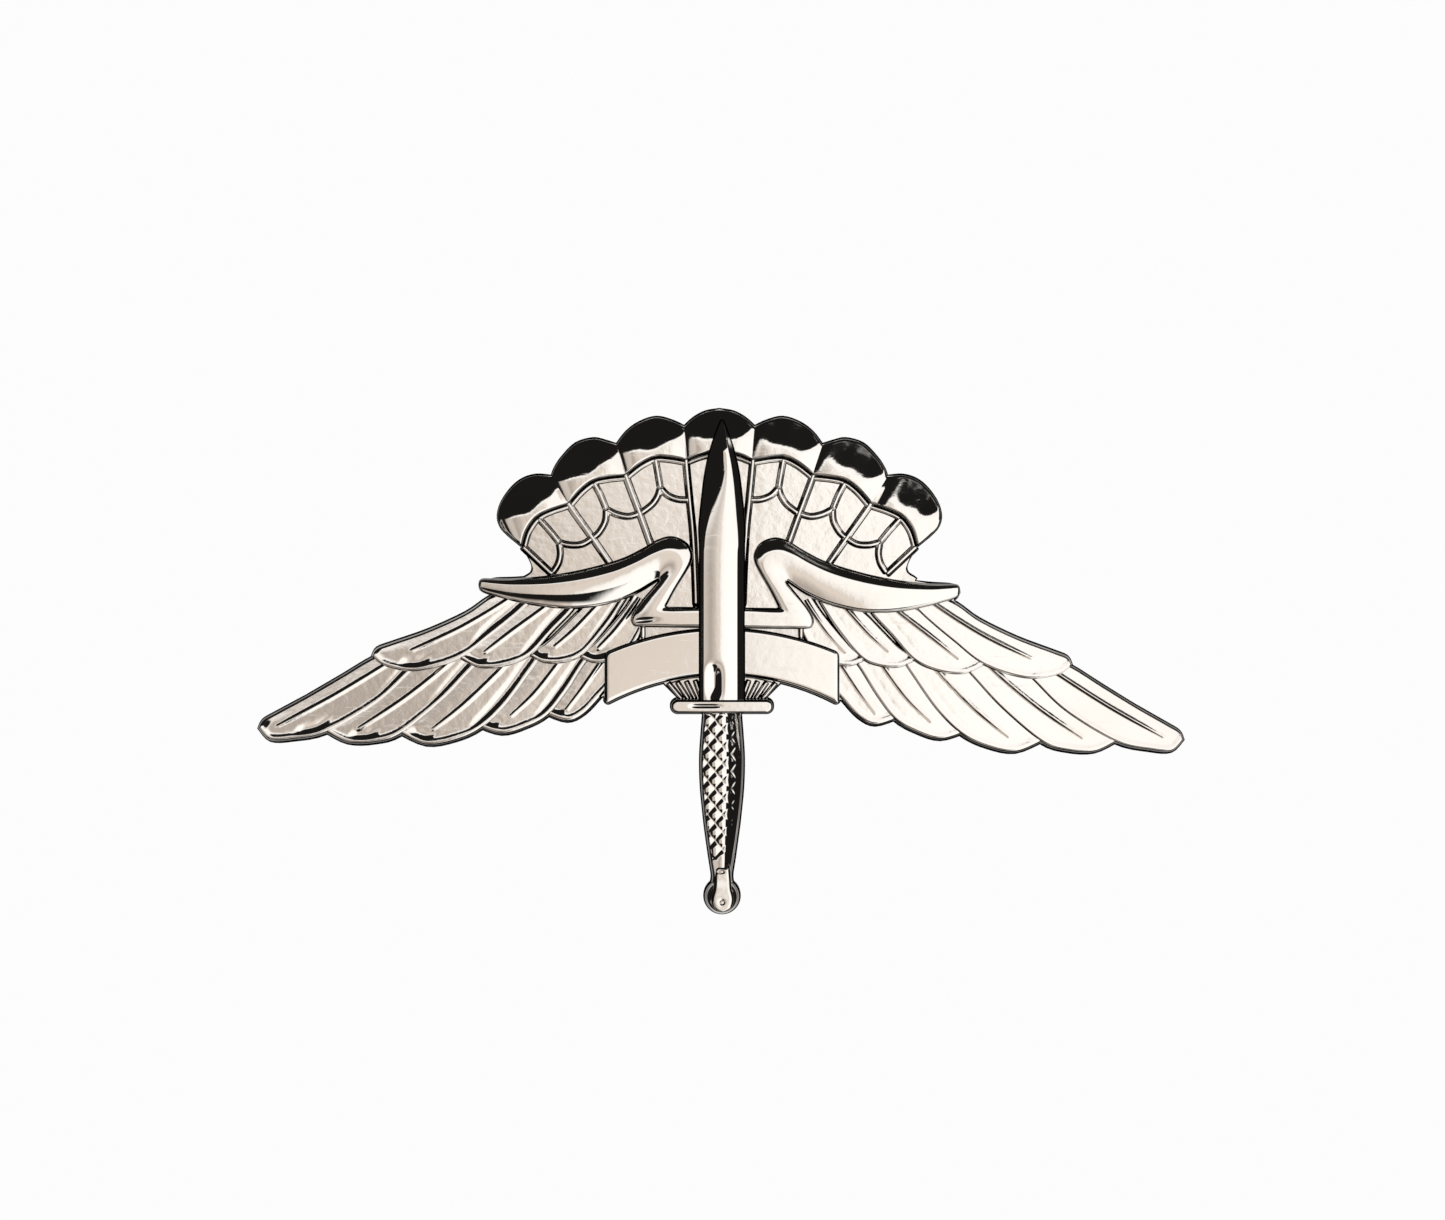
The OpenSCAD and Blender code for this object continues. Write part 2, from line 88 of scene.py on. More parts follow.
def on_wing(plan, side):
    """Mirrors a right-hand plan for the left wing, and gives both wings the same slight turn."""
    x, z = plan[..., 0] * side, plan[..., 1]
    cos, sin = np.cos(-WING_TURN), np.sin(-WING_TURN)
    return np.stack([x * cos - z * sin, x * sin + z * cos], axis=-1) * stretch


def on_canopy(plan, side):
    """Mirrors a right-hand plan of the canopy, whose middle stands a little off the centre line."""
    return np.stack([plan[..., 0] * side + CANOPY_SHIFT, plan[..., 1]], axis=-1) * stretch


def on_badge(plan, side=1):
    """Stretches a plan of the middle pieces, which have no turn."""
    return plan * [side, 1] * stretch


# %% [markdown]
# A drawn edge is a few points with a smooth curve through them. The curve is a Catmull-Rom
# spline: it passes through every point, so the points can be read off a drawing.

# %% Smooth curves and distances
def smooth(points, steps=8):
    """A Catmull-Rom curve: half of 2b + (c-a)t + (2a-5b+4c-d)t^2 + (3b-a-3c+d)t^3 on each span."""
    p = np.asarray(points, float)
    p = np.vstack([p[:1], p, p[-1:]])
    t = np.linspace(0, 1, steps, endpoint=False)[None, :, None]
    a, b, c, d = (p[i:len(p) - 3 + i, None, :] for i in range(4))
    curve = 0.5 * (2 * b + (c - a) * t + (2 * a - 5 * b + 4 * c - d) * t**2 + (3 * b - a - 3 * c + d) * t**3)
    return np.vstack([curve.reshape(-1, p.shape[1]), p[-1:]])


def stations(line, count, bunch=0.0):
    """Even steps along a line, by length. With bunch, the steps grow finer towards the end."""
    length = np.concatenate([[0], np.cumsum(np.linalg.norm(np.diff(line, axis=0), axis=1))])
    even = np.linspace(0, 1, count)
    share = (1 - bunch) * even + bunch * np.sin(even * np.pi / 2)
    return np.stack([np.interp(share * length[-1], length, line[:, k]) for k in range(2)], axis=1)


def distance(plan, line):
    """The least distance from each plan point to a line: each segment's nearest point, then the least."""
    start, step = line[:-1], np.diff(line, axis=0)
    long2 = np.maximum((step**2).sum(1), 1e-12)
    flat = plan.reshape(-1, 2)
    along = np.clip(((flat[:, None] - start) * step).sum(2) / long2, 0, 1)
    near = start + along[..., None] * step
    return np.sqrt(((flat[:, None] - near) ** 2).sum(2).min(1)).reshape(plan.shape[:-1])


def ease(value, low, high):
    """A smooth step from 0 at low to 1 at high."""
    t = np.clip((value - low) / (high - low), 0, 1)
    return t * t * (3 - 2 * t)


def round_over(gap, radius):
    """The drop of a rounded edge: a quarter circle, 0 from radius inwards and 1 at the very edge."""
    return 1 - np.sqrt(np.clip(1 - (1 - np.clip(gap / radius, 0, 1)) ** 2, 0, 1))


print("a smooth curve through 3 points has", len(smooth([[0, 0], [1, 1], [2, 0]])), "points")

# %% [markdown]
# Every relief piece is a skin: stations along two rails, and on each station a profile from one rail
# to the other. The profile bunches its points near the rails, where the metal rounds over. Below the
# skin, the ring goes straight down to the plate, so each piece is a closed solid.

# %% A closed skin between two rails
def across(width, inner=26, edge=0.22, edge_steps=7):
    """Shares from one rail to the other for each width: fine over the edge distance, even between."""
    near = np.minimum(edge / np.maximum(width, 1e-6), 0.3)[:, None]
    fine = np.linspace(0, 1, edge_steps, endpoint=False)[None, :] ** 1.4
    middle = np.linspace(0, 1, inner)[None, :]
    return np.hstack([near * fine, near + (1 - 2 * near) * middle, (1 - near * fine)[:, ::-1]])


def spread(first, second, **options):
    """Plan points between two rails: (1 - share) of the first rail and share of the second."""
    share = across(np.linalg.norm(first - second, axis=1), **options)
    return first[:, None] * (1 - share[..., None]) + second[:, None] * share[..., None], share


def rim_gap(plan):
    """How far each point lies from its station's nearer rail: the lesser of the run from both ends."""
    run = np.cumsum(np.linalg.norm(np.diff(plan, axis=1, prepend=plan[:, :1]), axis=2), axis=1)
    return np.minimum(run, run[:, -1:] - run)


def close_ring(plan, height, floor=0.0, gap=None):
    """Adds the two foot points of each station, so that the ring of a station closes."""
    low, none = np.full((len(plan), 1), floor), np.zeros((len(plan), 1))
    gap = rim_gap(plan) if gap is None else gap
    return (np.concatenate([plan[:, :1], plan, plan[:, -1:]], axis=1),
            np.concatenate([low, height, low], axis=1), np.concatenate([none, gap, none], axis=1))


def solid_grid(plan, height):
    """Vertices and faces of a closed skin: a quad between neighbours, and a fan on each end ring."""
    rows, cols = height.shape
    verts = np.dstack([plan[..., 0], -(plate_front + height), plan[..., 1]]).reshape(-1, 3) * MM
    ends = np.array([verts[:cols].mean(0), verts[-cols:].mean(0)])
    i, j = np.meshgrid(np.arange(rows - 1), np.arange(cols), indexing="ij")
    n = (j + 1) % cols
    quads = np.stack([i * cols + j, i * cols + n, (i + 1) * cols + n, (i + 1) * cols + j], -1).reshape(-1, 4)
    j = np.arange(cols)
    first = np.stack([np.full(cols, rows * cols), (j + 1) % cols, j], 1)
    final = (rows - 1) * cols
    last = np.stack([np.full(cols, rows * cols + 1), final + j, final + (j + 1) % cols], 1)
    return np.vstack([verts, ends]), quads, np.vstack([first, last])


def volume(verts, quads, fans):
    """The enclosed volume, a sum of tetrahedra: negative means that the faces point inwards."""
    corners = np.vstack([quads[:, [0, 1, 2]], quads[:, [0, 2, 3]], fans])
    a, b, c = verts[corners[:, 0]], verts[corners[:, 1]], verts[corners[:, 2]]
    return np.einsum("ij,ij->i", a, np.cross(b, c)).sum() / 6


def build(name, skins, sharp=60):
    """One object out of several closed skins, with every face turned outwards and smooth shading.

    The rim gap in mm is kept on each corner, so that a finish can tell an edge from the open metal.
    """
    verts, faces, gaps, offset = [], [], [], 0
    for plan, height, gap in skins:
        v, quads, fans = solid_grid(plan, height)
        turn = -1 if volume(v - v.mean(0), quads, fans) < 0 else 1
        faces += (quads[:, ::turn] + offset).tolist() + (fans[:, ::turn] + offset).tolist()
        verts.append(v)
        gaps += [gap.ravel(), np.zeros(2)]
        offset += len(v)
    mesh = bpy.data.meshes.new(name)
    mesh.from_pydata(np.vstack(verts).tolist(), [], faces)
    mesh.validate()
    mesh.attributes.new("rim_gap", "FLOAT", "POINT").data.foreach_set("value", np.concatenate(gaps))
    mesh.shade_smooth()
    mesh.set_sharp_from_angle(angle=np.radians(sharp))
    made = bpy.data.objects.new(name, mesh)
    bpy.context.scene.collection.objects.link(made)
    print(f"{name}: {len(skins)} skins, {len(mesh.polygons)} faces")
    return made


def stand_for(piece, *nodes):
    """The piece rides with the badge and stands for its frame solids."""
    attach(piece, "badge")
    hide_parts(*nodes)
    return piece


# %% [markdown]
# A feather is the main shape of the badge. On the real one the die gives it a rounded tip, a thin
# quill that fades before the tip, a shallow gutter and a raised lip along its trailing edge. Feathers
# lie like shingles: each is lower at its leading side, where the next one out covers it.

# %% Feathers
LOWER_FEATHERS = [
    ([[18.4, 0.35], [20.4, -0.55], [22.2, -1.65], [24.2, -2.85], [26, -3.85], [26.75, -4.3], [27, -4.8]],
     [[16.8, -0.3], [18.05, -1.45], [20, -3.28], [22.95, -5.02], [25, -5.47], [26.3, -5.5], [27, -4.8]],
     [[18.6, -0.4], [19.7, -1.1], [22.6, -2.9], [25.8, -4.65]]),
    ([[17, 0.3], [18.6, -1], [20.4, -2.7], [21.8, -3.9], [22.8, -4.5], [23.1, -4.7], [23.15, -4.95]],
     [[13.6, -0.3], [14.55, -1.3], [16.3, -3.15], [18.65, -5.08], [20.2, -5.58], [21.8, -5.6],
      [23.15, -4.95]],
     [[15.3, -0.2], [16.1, -1.05], [18.5, -3], [21.1, -4.75]]),
    ([[14, 0.3], [15, -0.8], [16.4, -2.4], [17.6, -3.8], [18.4, -4.5], [18.85, -4.75], [18.9, -4.95]],
     [[10.4, -0.3], [11, -1.2], [12.5, -3.28], [14, -4.7], [15.5, -5.4], [17.2, -5.67], [18.9, -4.95]],
     [[12.3, -0.5], [12.95, -1.28], [14.9, -3.2], [16.8, -4.75]]),
    ([[10.4, 0.2], [11.3, -0.8], [12.4, -2.4], [13.4, -3.7], [14, -4.2], [14.25, -4.4], [14.25, -4.55]],
     [[7.4, -0.2], [8, -0.93], [9, -2.5], [10.1, -3.87], [11.4, -4.6], [12.8, -4.98], [14.25, -4.55]],
     [[9.2, -0.3], [9.7, -1.05], [10.9, -2.6], [12.25, -3.9]]),
    ([[7.6, 0.3], [8.2, -0.5], [9, -1.9], [9.8, -2.9], [10.2, -3.4], [10.35, -3.6], [10.35, -3.75]],
     [[5.6, -0.2], [6, -1], [6.5, -2.1], [7.05, -2.75], [8, -3.75], [9, -4.18], [10.35, -3.75]],
     [[6.8, -0.3], [7.25, -1], [8.1, -2.25], [9, -3.45]])]
UPPER_FEATHERS = [
    ([[12.6, 3.5], [13.7, 3.02], [15, 2.12], [17.2, 1.08], [19.3, 0.32], [20.15, -0.02], [20.42, -0.5]],
     [[10.9, 2.9], [11.9, 1.95], [13.4, 0.72], [15.2, -0.62], [17.7, -1.37], [19.6, -1.12], [20.42, -0.5]],
     [[11.8, 3.5], [12.6, 2.8], [15.2, 1.2], [18.05, -0.15]]),
    ([[10.4, 3.3], [11.4, 2.7], [12.8, 1.7], [14.1, 0.65], [14.9, 0.05], [15.25, -0.35], [15.25, -0.65]],
     [[8.2, 2.9], [8.8, 2.1], [9.8, 1.05], [11.15, -0.4], [12.6, -1.03], [14.1, -1.15], [15.25, -0.65]],
     [[9.6, 3.1], [10.4, 2.4], [12.2, 1.05], [13.8, -0.2]]),
    ([[7.4, 3.2], [8.2, 2.6], [9.2, 1.6], [10.2, 0.6], [10.9, 0.1], [11.2, -0.2], [11.2, -0.45]],
     [[5.5, 3.1], [5.8, 2.6], [6.6, 1.4], [8, -0.25], [9.1, -0.76], [10.3, -0.82], [11.2, -0.45]],
     [[6.9, 3], [7.5, 2.35], [8.6, 1.17], [9.7, 0.2]]),
    ([[5.3, 3.3], [5.8, 2.5], [6.6, 1.5], [7.5, 0.5], [8.1, 0], [8.3, -0.25], [8.25, -0.5]],
     [[4.3, 2.9], [4.3, 2], [4.6, 1.1], [5.2, 0.1], [6.1, -0.6], [7.4, -0.78], [8.25, -0.5]],
     [[4.8, 3.2], [5.25, 2.5], [6.15, 1.25], [7.2, 0.1]])]
FEATHER_STATIONS = 110
SHINGLE_DROP, SHINGLE_REACH = 0.02, 0.35
STACK_DROP = 0.1
LIP_HEIGHT, LIP_INSET, LIP_WIDTH = {-1: 0.03, 1: 0.02}, 0.22, 0.16
GUTTER_DEPTH, GUTTER_INSET, GUTTER_WIDTH = {-1: 0.05, 1: 0.006}, 0.6, 0.24
GUTTER_PATCH = (1.9, 1.3)
QUILL_HEIGHT, QUILL_WIDTH, QUILL_LEAST = 0.075, 0.085, 0.35
FEATHER_EDGE, FEATHER_DROP = 0.17, 0.75


def feather(rails, side, top):
    """Height = top - shingle drop at the leading side + lip - gutter + quill - rounded edge.

    Each term is a function of the distance to one line: lip and gutter to the trailing rail, as bell
    curves exp(-((d - inset) / width)^2), and the quill to its own line, fading out over its last 2.5 mm.
    The left wing is struck deeper than the right one, and its gutters come and go in patches.
    """
    lead, trail, quill = (smooth(line) for line in rails)
    first, second = stations(lead, FEATHER_STATIONS, 0.9)[:-1], stations(trail, FEATHER_STATIONS, 0.9)[:-1]
    plan, share = spread(first, second, inner=40)
    to_lead, to_trail = distance(plan, lead), distance(plan, trail)
    lip = LIP_HEIGHT[side] * np.exp(-((to_trail - LIP_INSET) / LIP_WIDTH) ** 2)
    patch = ease(np.sin(plan @ GUTTER_PATCH), -0.2, 0.9)
    gutter = patch * GUTTER_DEPTH[side] * np.exp(-((to_trail - GUTTER_INSET) / GUTTER_WIDTH) ** 2)
    to_tip = np.linalg.norm(plan - quill[-1], axis=-1)
    rib = QUILL_HEIGHT * np.exp(-(distance(plan, quill) / QUILL_WIDTH) ** 2)
    rib = rib * (QUILL_LEAST + (1 - QUILL_LEAST) * ease(to_tip, 0, 2.5))
    sunk = SHINGLE_DROP * (1 - ease(share, 0, SHINGLE_REACH))
    height = top - sunk + lip - gutter * (1 - 0.6 * ease(to_tip, 2, 7)) + rib
    edge = np.minimum(to_lead, to_trail)
    height = height - FEATHER_DROP * top * round_over(edge, FEATHER_EDGE)
    return close_ring(on_wing(plan, side), height, gap=edge)


for name, side in (("left", -1), ("right", 1)):
    for row, feathers in (("lower", LOWER_FEATHERS), ("upper", UPPER_FEATHERS)):
        node = f"{name}_{row}_feathers"
        top = top_of(node) - QUILL_HEIGHT
        skins = [feather(rails, side, top - STACK_DROP * k) for k, rails in enumerate(feathers)]
        stand_for(build(f"{name}_{row}_feather_row", skins), node)

# %% [markdown]
# The leading edge of each wing is an arm that runs in from the wing tip, folds back at the shoulder
# and ends in a foot at the blade. It is one ribbon between two rails, so the fold comes from pairing
# the rails: at the shoulder the outer rail sweeps round while the inner one waits at the crotch.

# %% Wing arms
ARM_RAILS = [
    ([14.02, 3.78], [14, 3.6]), ([13.96, 4.02], [13.92, 3.4]), ([13.74, 4.14], [13.64, 3.24]),
    ([13.2, 4.14], [13, 3.04]), ([12, 4.16], [12, 2.77]), ([10, 4.38], [10.5, 2.47]),
    ([8, 4.78], [9, 2.37]), ([6, 5.38], [7.6, 2.48]), ([4.7, 6.02], [6.2, 2.8]),
    ([3.8, 6.55], [4.9, 3.35]), ([3, 6.74], [4.15, 3.82]), ([2.2, 6.45], [3.82, 4.04]),
    ([1.8, 5.85], [3.75, 4.1]), ([1.8, 5.3], [3.8, 4.04]), ([2.1, 4.65], [4.05, 3.75]),
    ([2.65, 3.72], [4.6, 3.1]), ([3.08, 2.92], [5.05, 2.5]), ([3.2, 2.68], [5.32, 2]),
    ([3.12, 2.62], [5.28, 1.62]),
    ([2.9, 2.62], [4.95, 1.4]), ([2.3, 2.62], [3.6, 1.38]), ([1.3, 2.62], [1.3, 1.38])]
ARM_CREST = 0.3
ARM_SHOULDER = 0.42
ARM_BELLY = {-1: 0.5, 1: 0.14}
FOREARM_FLATNESS = 0.78
ARM_EDGE, ARM_DROP = 0.2, 0.55
FOOT_DIMPLE = {-1: 0.07, 1: 0.0}
DIMPLE_X, DIMPLE_Z, DIMPLE_LONG, DIMPLE_WIDE = 4.5, 1.8, 0.55, 0.14
ARM_REACH = {-1: 1.014, 1: 0.985}


def arm(side):
    """Height falls from a crest at 0.3 of the width: as a square to the upper rail, a cube to the lower.

    The left underside falls away more than the right one. Past the shoulder the crown fades, so the
    forearm is nearly flat, and the left foot carries a shallow oblong dimple. The reach stretches x
    beyond 6 mm, because the two arms are not struck to quite the same length.
    """
    upper, lower = (smooth([pair[k] for pair in ARM_RAILS], 14) for k in (0, 1))
    plan, share = spread(upper, lower, inner=44)
    top = top_of("left_wing_arm")
    above = np.clip((ARM_CREST - share) / ARM_CREST, 0, 1) ** 2.0
    below = np.clip((share - ARM_CREST) / (1 - ARM_CREST), 0, 1) ** 3
    width = np.linalg.norm(upper - lower, axis=1)[:, None]
    run = np.linspace(0, 1, len(upper))[:, None]
    crown = (ARM_SHOULDER * above + ARM_BELLY[side] * below) * np.minimum(width / 2.0, 1)
    crown = crown * (1 - FOREARM_FLATNESS * ease(run, 0.42, 0.6))
    outline = np.vstack([lower[::-1], upper])
    edge = distance(plan, outline)
    height = top - crown - ARM_DROP * round_over(edge, ARM_EDGE)
    off_x, off_z = plan[..., 0] - DIMPLE_X, plan[..., 1] - DIMPLE_Z
    dimple = np.exp(-((off_x / DIMPLE_LONG) ** 2) - ((off_z + 0.1 * off_x) / DIMPLE_WIDE) ** 2)
    height = height - FOOT_DIMPLE[side] * dimple
    plan = plan * np.stack([1 + (ARM_REACH[side] - 1) * ease(plan[..., 0], 6, 14), np.ones(share.shape)], -1)
    return close_ring(on_wing(plan, side), height, gap=edge)


for name, side in (("left", -1), ("right", 1)):
    stand_for(build(f"{name}_leading_edge", [arm(side)]), f"{name}_wing_arm")

# %% [markdown]
# The canopy is a ring of puffed lobes above flat cloth panels. Raised seams run down between the
# panels, and each panel is split by a half seam that forks into two arcs.

# %% Canopy outlines
LOBE_EDGES = [
    [[-2.05, 13.15], [-1.5, 13.65], [-0.8, 14.02], [0, 14.15], [0.8, 14.02], [1.5, 13.65], [2.05, 13.15]],
    [[2.05, 13.15], [2.75, 13.48], [3.7, 13.7], [4.7, 13.38], [5.45, 12.82], [6, 12.1]],
    [[6, 12.1], [6.7, 12.32], [7.4, 12.45], [8.4, 12.15], [9.2, 11.35], [9.62, 10.7], [9.78, 10.25]],
    [[9.78, 10.25], [10.7, 10.32], [11.5, 10.08], [12.15, 9.55], [12.7, 8.75], [12.92, 8], [12.8, 7.4],
     [12.4, 6.9], [11.5, 6.15]]]
SCALLOPS = [
    [[-1.95, 11.2], [-1, 11.55], [0, 11.7], [1, 11.55], [1.95, 11.2]],
    [[1.95, 11.2], [3, 11.37], [3.8, 11.38], [4.6, 11], [5.47, 10.32]],
    [[5.47, 10.32], [6.7, 10.18], [7.4, 9.98], [8.1, 9.45], [8.8, 8.65]],
    [[8.8, 8.65], [9.9, 8.28], [10.65, 7.88], [11.2, 7.15], [11.5, 6.2]]]
SEAMS = [
    [[2.05, 13.1], [1.95, 11.2], [1.75, 9], [1.55, 7], [1.42, 4.5], [1.36, 2.6]],
    [[5.98, 12.05], [5.47, 10.32], [4.65, 8.1], [3.9, 6]],
    [[9.74, 10.2], [8.8, 8.65], [7.4, 6.65], [6.2, 4.9]],
    [[11.5, 6.2], [9.7, 4.5]]]
HALF_SEAMS = [
    [[3.75, 11.35], [3.6, 10.5], [3.45, 9.6]],
    [[7.35, 9.95], [6.95, 9.2], [6.6, 8.35]],
    [[10.6, 7.85], [9.9, 7.1], [9.35, 6.4]]]
FORKS = [
    [[3.45, 9.6], [3, 9.15], [2.4, 8.92], [1.75, 8.9]],
    [[3.45, 9.6], [3.6, 9.1], [3.95, 8.6], [4.6, 8.1]],
    [[6.6, 8.35], [6, 8.05], [5.3, 7.92], [4.65, 8.1]],
    [[6.6, 8.35], [6.65, 7.65], [7, 7], [7.4, 6.65]],
    [[9.35, 6.4], [8.7, 6.25], [8, 6.3], [7.4, 6.65]],
    [[9.35, 6.4], [9.27, 5.75], [9.4, 5.15], [9.75, 4.6]]]
PANEL_TOP = 0.4
print(len(LOBE_EDGES) * 2 - 1, "lobes,", 2 * len(SEAMS), "seams,", 2 * len(HALF_SEAMS), "half seams")

# %% Canopy surfaces
OUTER_CHORD = np.array([[9.78, 9.75], [12.95, 8.05]])
LOBE_BEND, LOBE_RADIUS, LOBE_FAR_RADIUS, LOBE_CREST = 0.6, 2.0, 12.0, 0.5
LOBE_SAG, LOBE_RIPPLE = 0.4, 0.06
LOBE_SIDE_DROP = 0.16
LOBE_STATIONS = 84
LOBE_TOP, LOBE_TILT = 0.62, 0.03
LOBE_EDGE, LOBE_EDGE_DROP = 0.17, 0.2
LOBE_FOOT, LOBE_FOOT_DROP = 0.15, 0.34


def lobe(edge, scallop, side):
    """Height = top - bulge fall - side fall - rounded rim, in a frame laid along the lobe's chord.

    With w the distance beyond the chord, the bulge falls as w^2 / (2 radius) outwards from a crest
    line a little below the chord, goes on less bent beyond LOBE_BEND, and tilts only slightly
    inwards. With u the place along the chord from -1 to 1, the sides fall as u^6, and the crest line
    sags by 1 - u^2 with a small ripple.
    """
    outer, inner_rail = smooth(edge, 10), smooth(scallop, 10)
    plan, _ = spread(stations(inner_rail, LOBE_STATIONS), stations(outer, LOBE_STATIONS), inner=44)
    start, end = OUTER_CHORD if edge is LOBE_EDGES[-1] else (outer[0], outer[-1])
    chord = end - start
    across_chord = np.array([-chord[1], chord[0]]) / np.linalg.norm(chord)
    beyond = (plan - start) @ across_chord + LOBE_CREST
    along = ((plan - start) @ chord) / (chord @ chord) * 2 - 1
    beyond = beyond + LOBE_SAG * (1 - np.minimum(along**2, 1)) + LOBE_RIPPLE * np.sin(7 * along + 5 * side)
    near, far = np.clip(beyond, 0, LOBE_BEND), np.maximum(beyond - LOBE_BEND, 0)
    bulge = near**2 / (2 * LOBE_RADIUS) + far * LOBE_BEND / LOBE_RADIUS + far**2 / (2 * LOBE_FAR_RADIUS)
    bulge = bulge + LOBE_TILT * np.minimum(beyond, 0) ** 2
    height = PANEL_TOP + LOBE_TOP - bulge - LOBE_SIDE_DROP * np.minimum(np.abs(along), 1) ** 6
    outer_gap, foot_gap = distance(plan, outer), distance(plan, inner_rail)
    height = height - LOBE_EDGE_DROP * round_over(outer_gap, LOBE_EDGE)
    height = height - LOBE_FOOT_DROP * round_over(foot_gap, LOBE_FOOT)
    return close_ring(on_canopy(plan, side), height, gap=np.minimum(outer_gap, foot_gap))


SEAM_FLAT = 0.55


def bead(line, side, place, width=0.46, rise=0.15, floor=PANEL_TOP):
    """A seam: height = rise / (1 + (x / flat)^4) across, so that its foot runs out level with the panel."""
    path = stations(smooth(line), 48)
    along = np.gradient(path, axis=0)
    normal = np.stack([-along[:, 1], along[:, 0]], 1) / np.linalg.norm(along, axis=1)[:, None]
    run = np.linspace(0, np.linalg.norm(np.diff(path, axis=0), axis=1).sum(), len(path))
    end = np.clip(np.minimum(run, run[-1] - run) / (width / 4), 0.12, 1)
    end = np.sqrt(1 - (1 - end) ** 2)
    x = np.linspace(-1, 1, 23)
    plan = path[:, None] + normal[:, None] * (x[None, :, None] * width / 2 * (0.5 + 0.5 * end[:, None, None]))
    swell = 1 / (1 + (np.abs(x) / SEAM_FLAT) ** 4)
    swell = (swell - swell[0]) / (1 - swell[0])
    height = floor - 0.003 + rise * swell[None, :] * end[:, None]
    return close_ring(place(plan, side), height, floor - 0.1)


def panels(side):
    """The flat cloth: from the arms' line up to the lobes, a skin with a slightly rounded rim."""
    upper = np.vstack([smooth(scallop, 6) + [0, 0.15] for scallop in SCALLOPS[1:]])
    upper = np.vstack([[[0.0, 11.9]], [[1.2, 11.7]], upper, [[11.3, 5.85], [11, 5.3]]])
    lower = np.array([[0.0, 2.0], [1.5, 2.0], [3.35, 2.0], [3.4, 3.2], [2.9, 4.6], [3.2, 5.7], [4, 5.7],
                      [5, 5.4], [6, 5.1], [7, 4.7], [8, 4.5], [9, 4.3], [9.8, 4.2], [10.6, 4.15]])
    plan, share = spread(stations(upper, 90), stations(lower, 90), inner=30)
    return close_ring(on_canopy(plan, side), np.full(share.shape, PANEL_TOP), gap=distance(plan, upper[:-2]))


HEM_INSET = 0.17
canopy_skins = [lobe(LOBE_EDGES[0], SCALLOPS[0], 1)]
for side in (-1, 1):
    canopy_skins += [panels(side)] + [lobe(e, s, side) for e, s in zip(LOBE_EDGES[1:], SCALLOPS[1:])]
    canopy_skins += [bead(line, side, on_canopy, 0.5, 0.19) for line in SEAMS]
    canopy_skins += [bead(line, side, on_canopy) for line in HALF_SEAMS + FORKS]
    for line in map(np.array, SCALLOPS):
        hem = line - HEM_INSET * line / np.linalg.norm(line, axis=1)[:, None]
        canopy_skins.append(bead(hem, side, on_canopy, width=0.36, rise=0.13))
stand_for(build("puffed_canopy", canopy_skins), "canopy")

# %% [markdown]
# The tab is a plain arched band with a polished flat and rounded edges. It stays blank.

# %% Arched tab
TAB_TOP, TAB_RADIUS, TAB_BAND = 1.42, 17.05, 2.8
TAB_EDGE, TAB_CORNER, TAB_DROP = 0.22, 0.25, 0.3
tab_half_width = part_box("arched_tab")[1][0] / MM


def tab_skin():
    """Rails are two concentric arcs with rounded ends; the flat drops as a quarter circle at every edge."""
    x = np.linspace(-1, 1, 120)
    x = tab_half_width * np.sign(x) * (1 - (1 - np.abs(x)) ** 1.3)
    corner = TAB_CORNER * round_over(tab_half_width - np.abs(x), TAB_CORNER)
    rails = [np.stack([x, TAB_TOP - TAB_RADIUS + np.sqrt(r**2 - x**2) - way * corner], 1)
             for way, r in ((1, TAB_RADIUS), (-1, TAB_RADIUS - TAB_BAND))]
    plan, share = spread(*rails, inner=30)
    outline = np.vstack([rails[0], rails[1][::-1], rails[0][:1]])
    edge = distance(plan, outline)
    return close_ring(plan, top_of("arched_tab") - TAB_DROP * round_over(edge, TAB_EDGE), gap=edge)


stand_for(build("blank_tab", [tab_skin()]), "arched_tab")

# %% [markdown]
# Below the tab a fan of rays draws together to the guard. Each ray is a small half-round ridge on a
# thin web.

# %% Ray fan
FAN_TOP_HALF, FAN_FOOT_HALF = 3.25, 2.4
FAN_TOP_Z, FAN_FOOT_Z = -1.45, -2.8
RAYS, RAY_RISE, RAY_WIDTH = 13, 0.22, 0.36
web_top = top_of("ray_fan") - 0.25
web = np.array([[[-FAN_TOP_HALF, FAN_TOP_Z - 0.4], [-1.7, FAN_TOP_Z], [0, FAN_TOP_Z], [1.7, FAN_TOP_Z],
                 [FAN_TOP_HALF, FAN_TOP_Z - 0.4]],
                [[-FAN_FOOT_HALF, FAN_FOOT_Z], [-1.2, FAN_FOOT_Z], [0, FAN_FOOT_Z], [1.2, FAN_FOOT_Z],
                 [FAN_FOOT_HALF, FAN_FOOT_Z]]], float)
plan, share = spread(smooth(web[0]), smooth(web[1]), inner=4)
ray_skins = [close_ring(on_badge(plan), np.full(share.shape, web_top))]
for x in np.linspace(-1, 1, RAYS):
    head = [x * FAN_TOP_HALF * 0.97, FAN_TOP_Z - 0.35 * abs(x)]
    foot = [x * FAN_FOOT_HALF * 0.97, FAN_FOOT_Z]
    ray_skins.append(bead([head, foot], 1, on_badge, width=RAY_WIDTH, rise=RAY_RISE, floor=web_top))
stand_for(build("ray_fan_ridges", ray_skins), "ray_fan")

# %% [markdown]
# The dagger is drawn along its length. Its blade has a slightly crowned flat between two steep
# bevels; towards the point the flat narrows to a ridge.

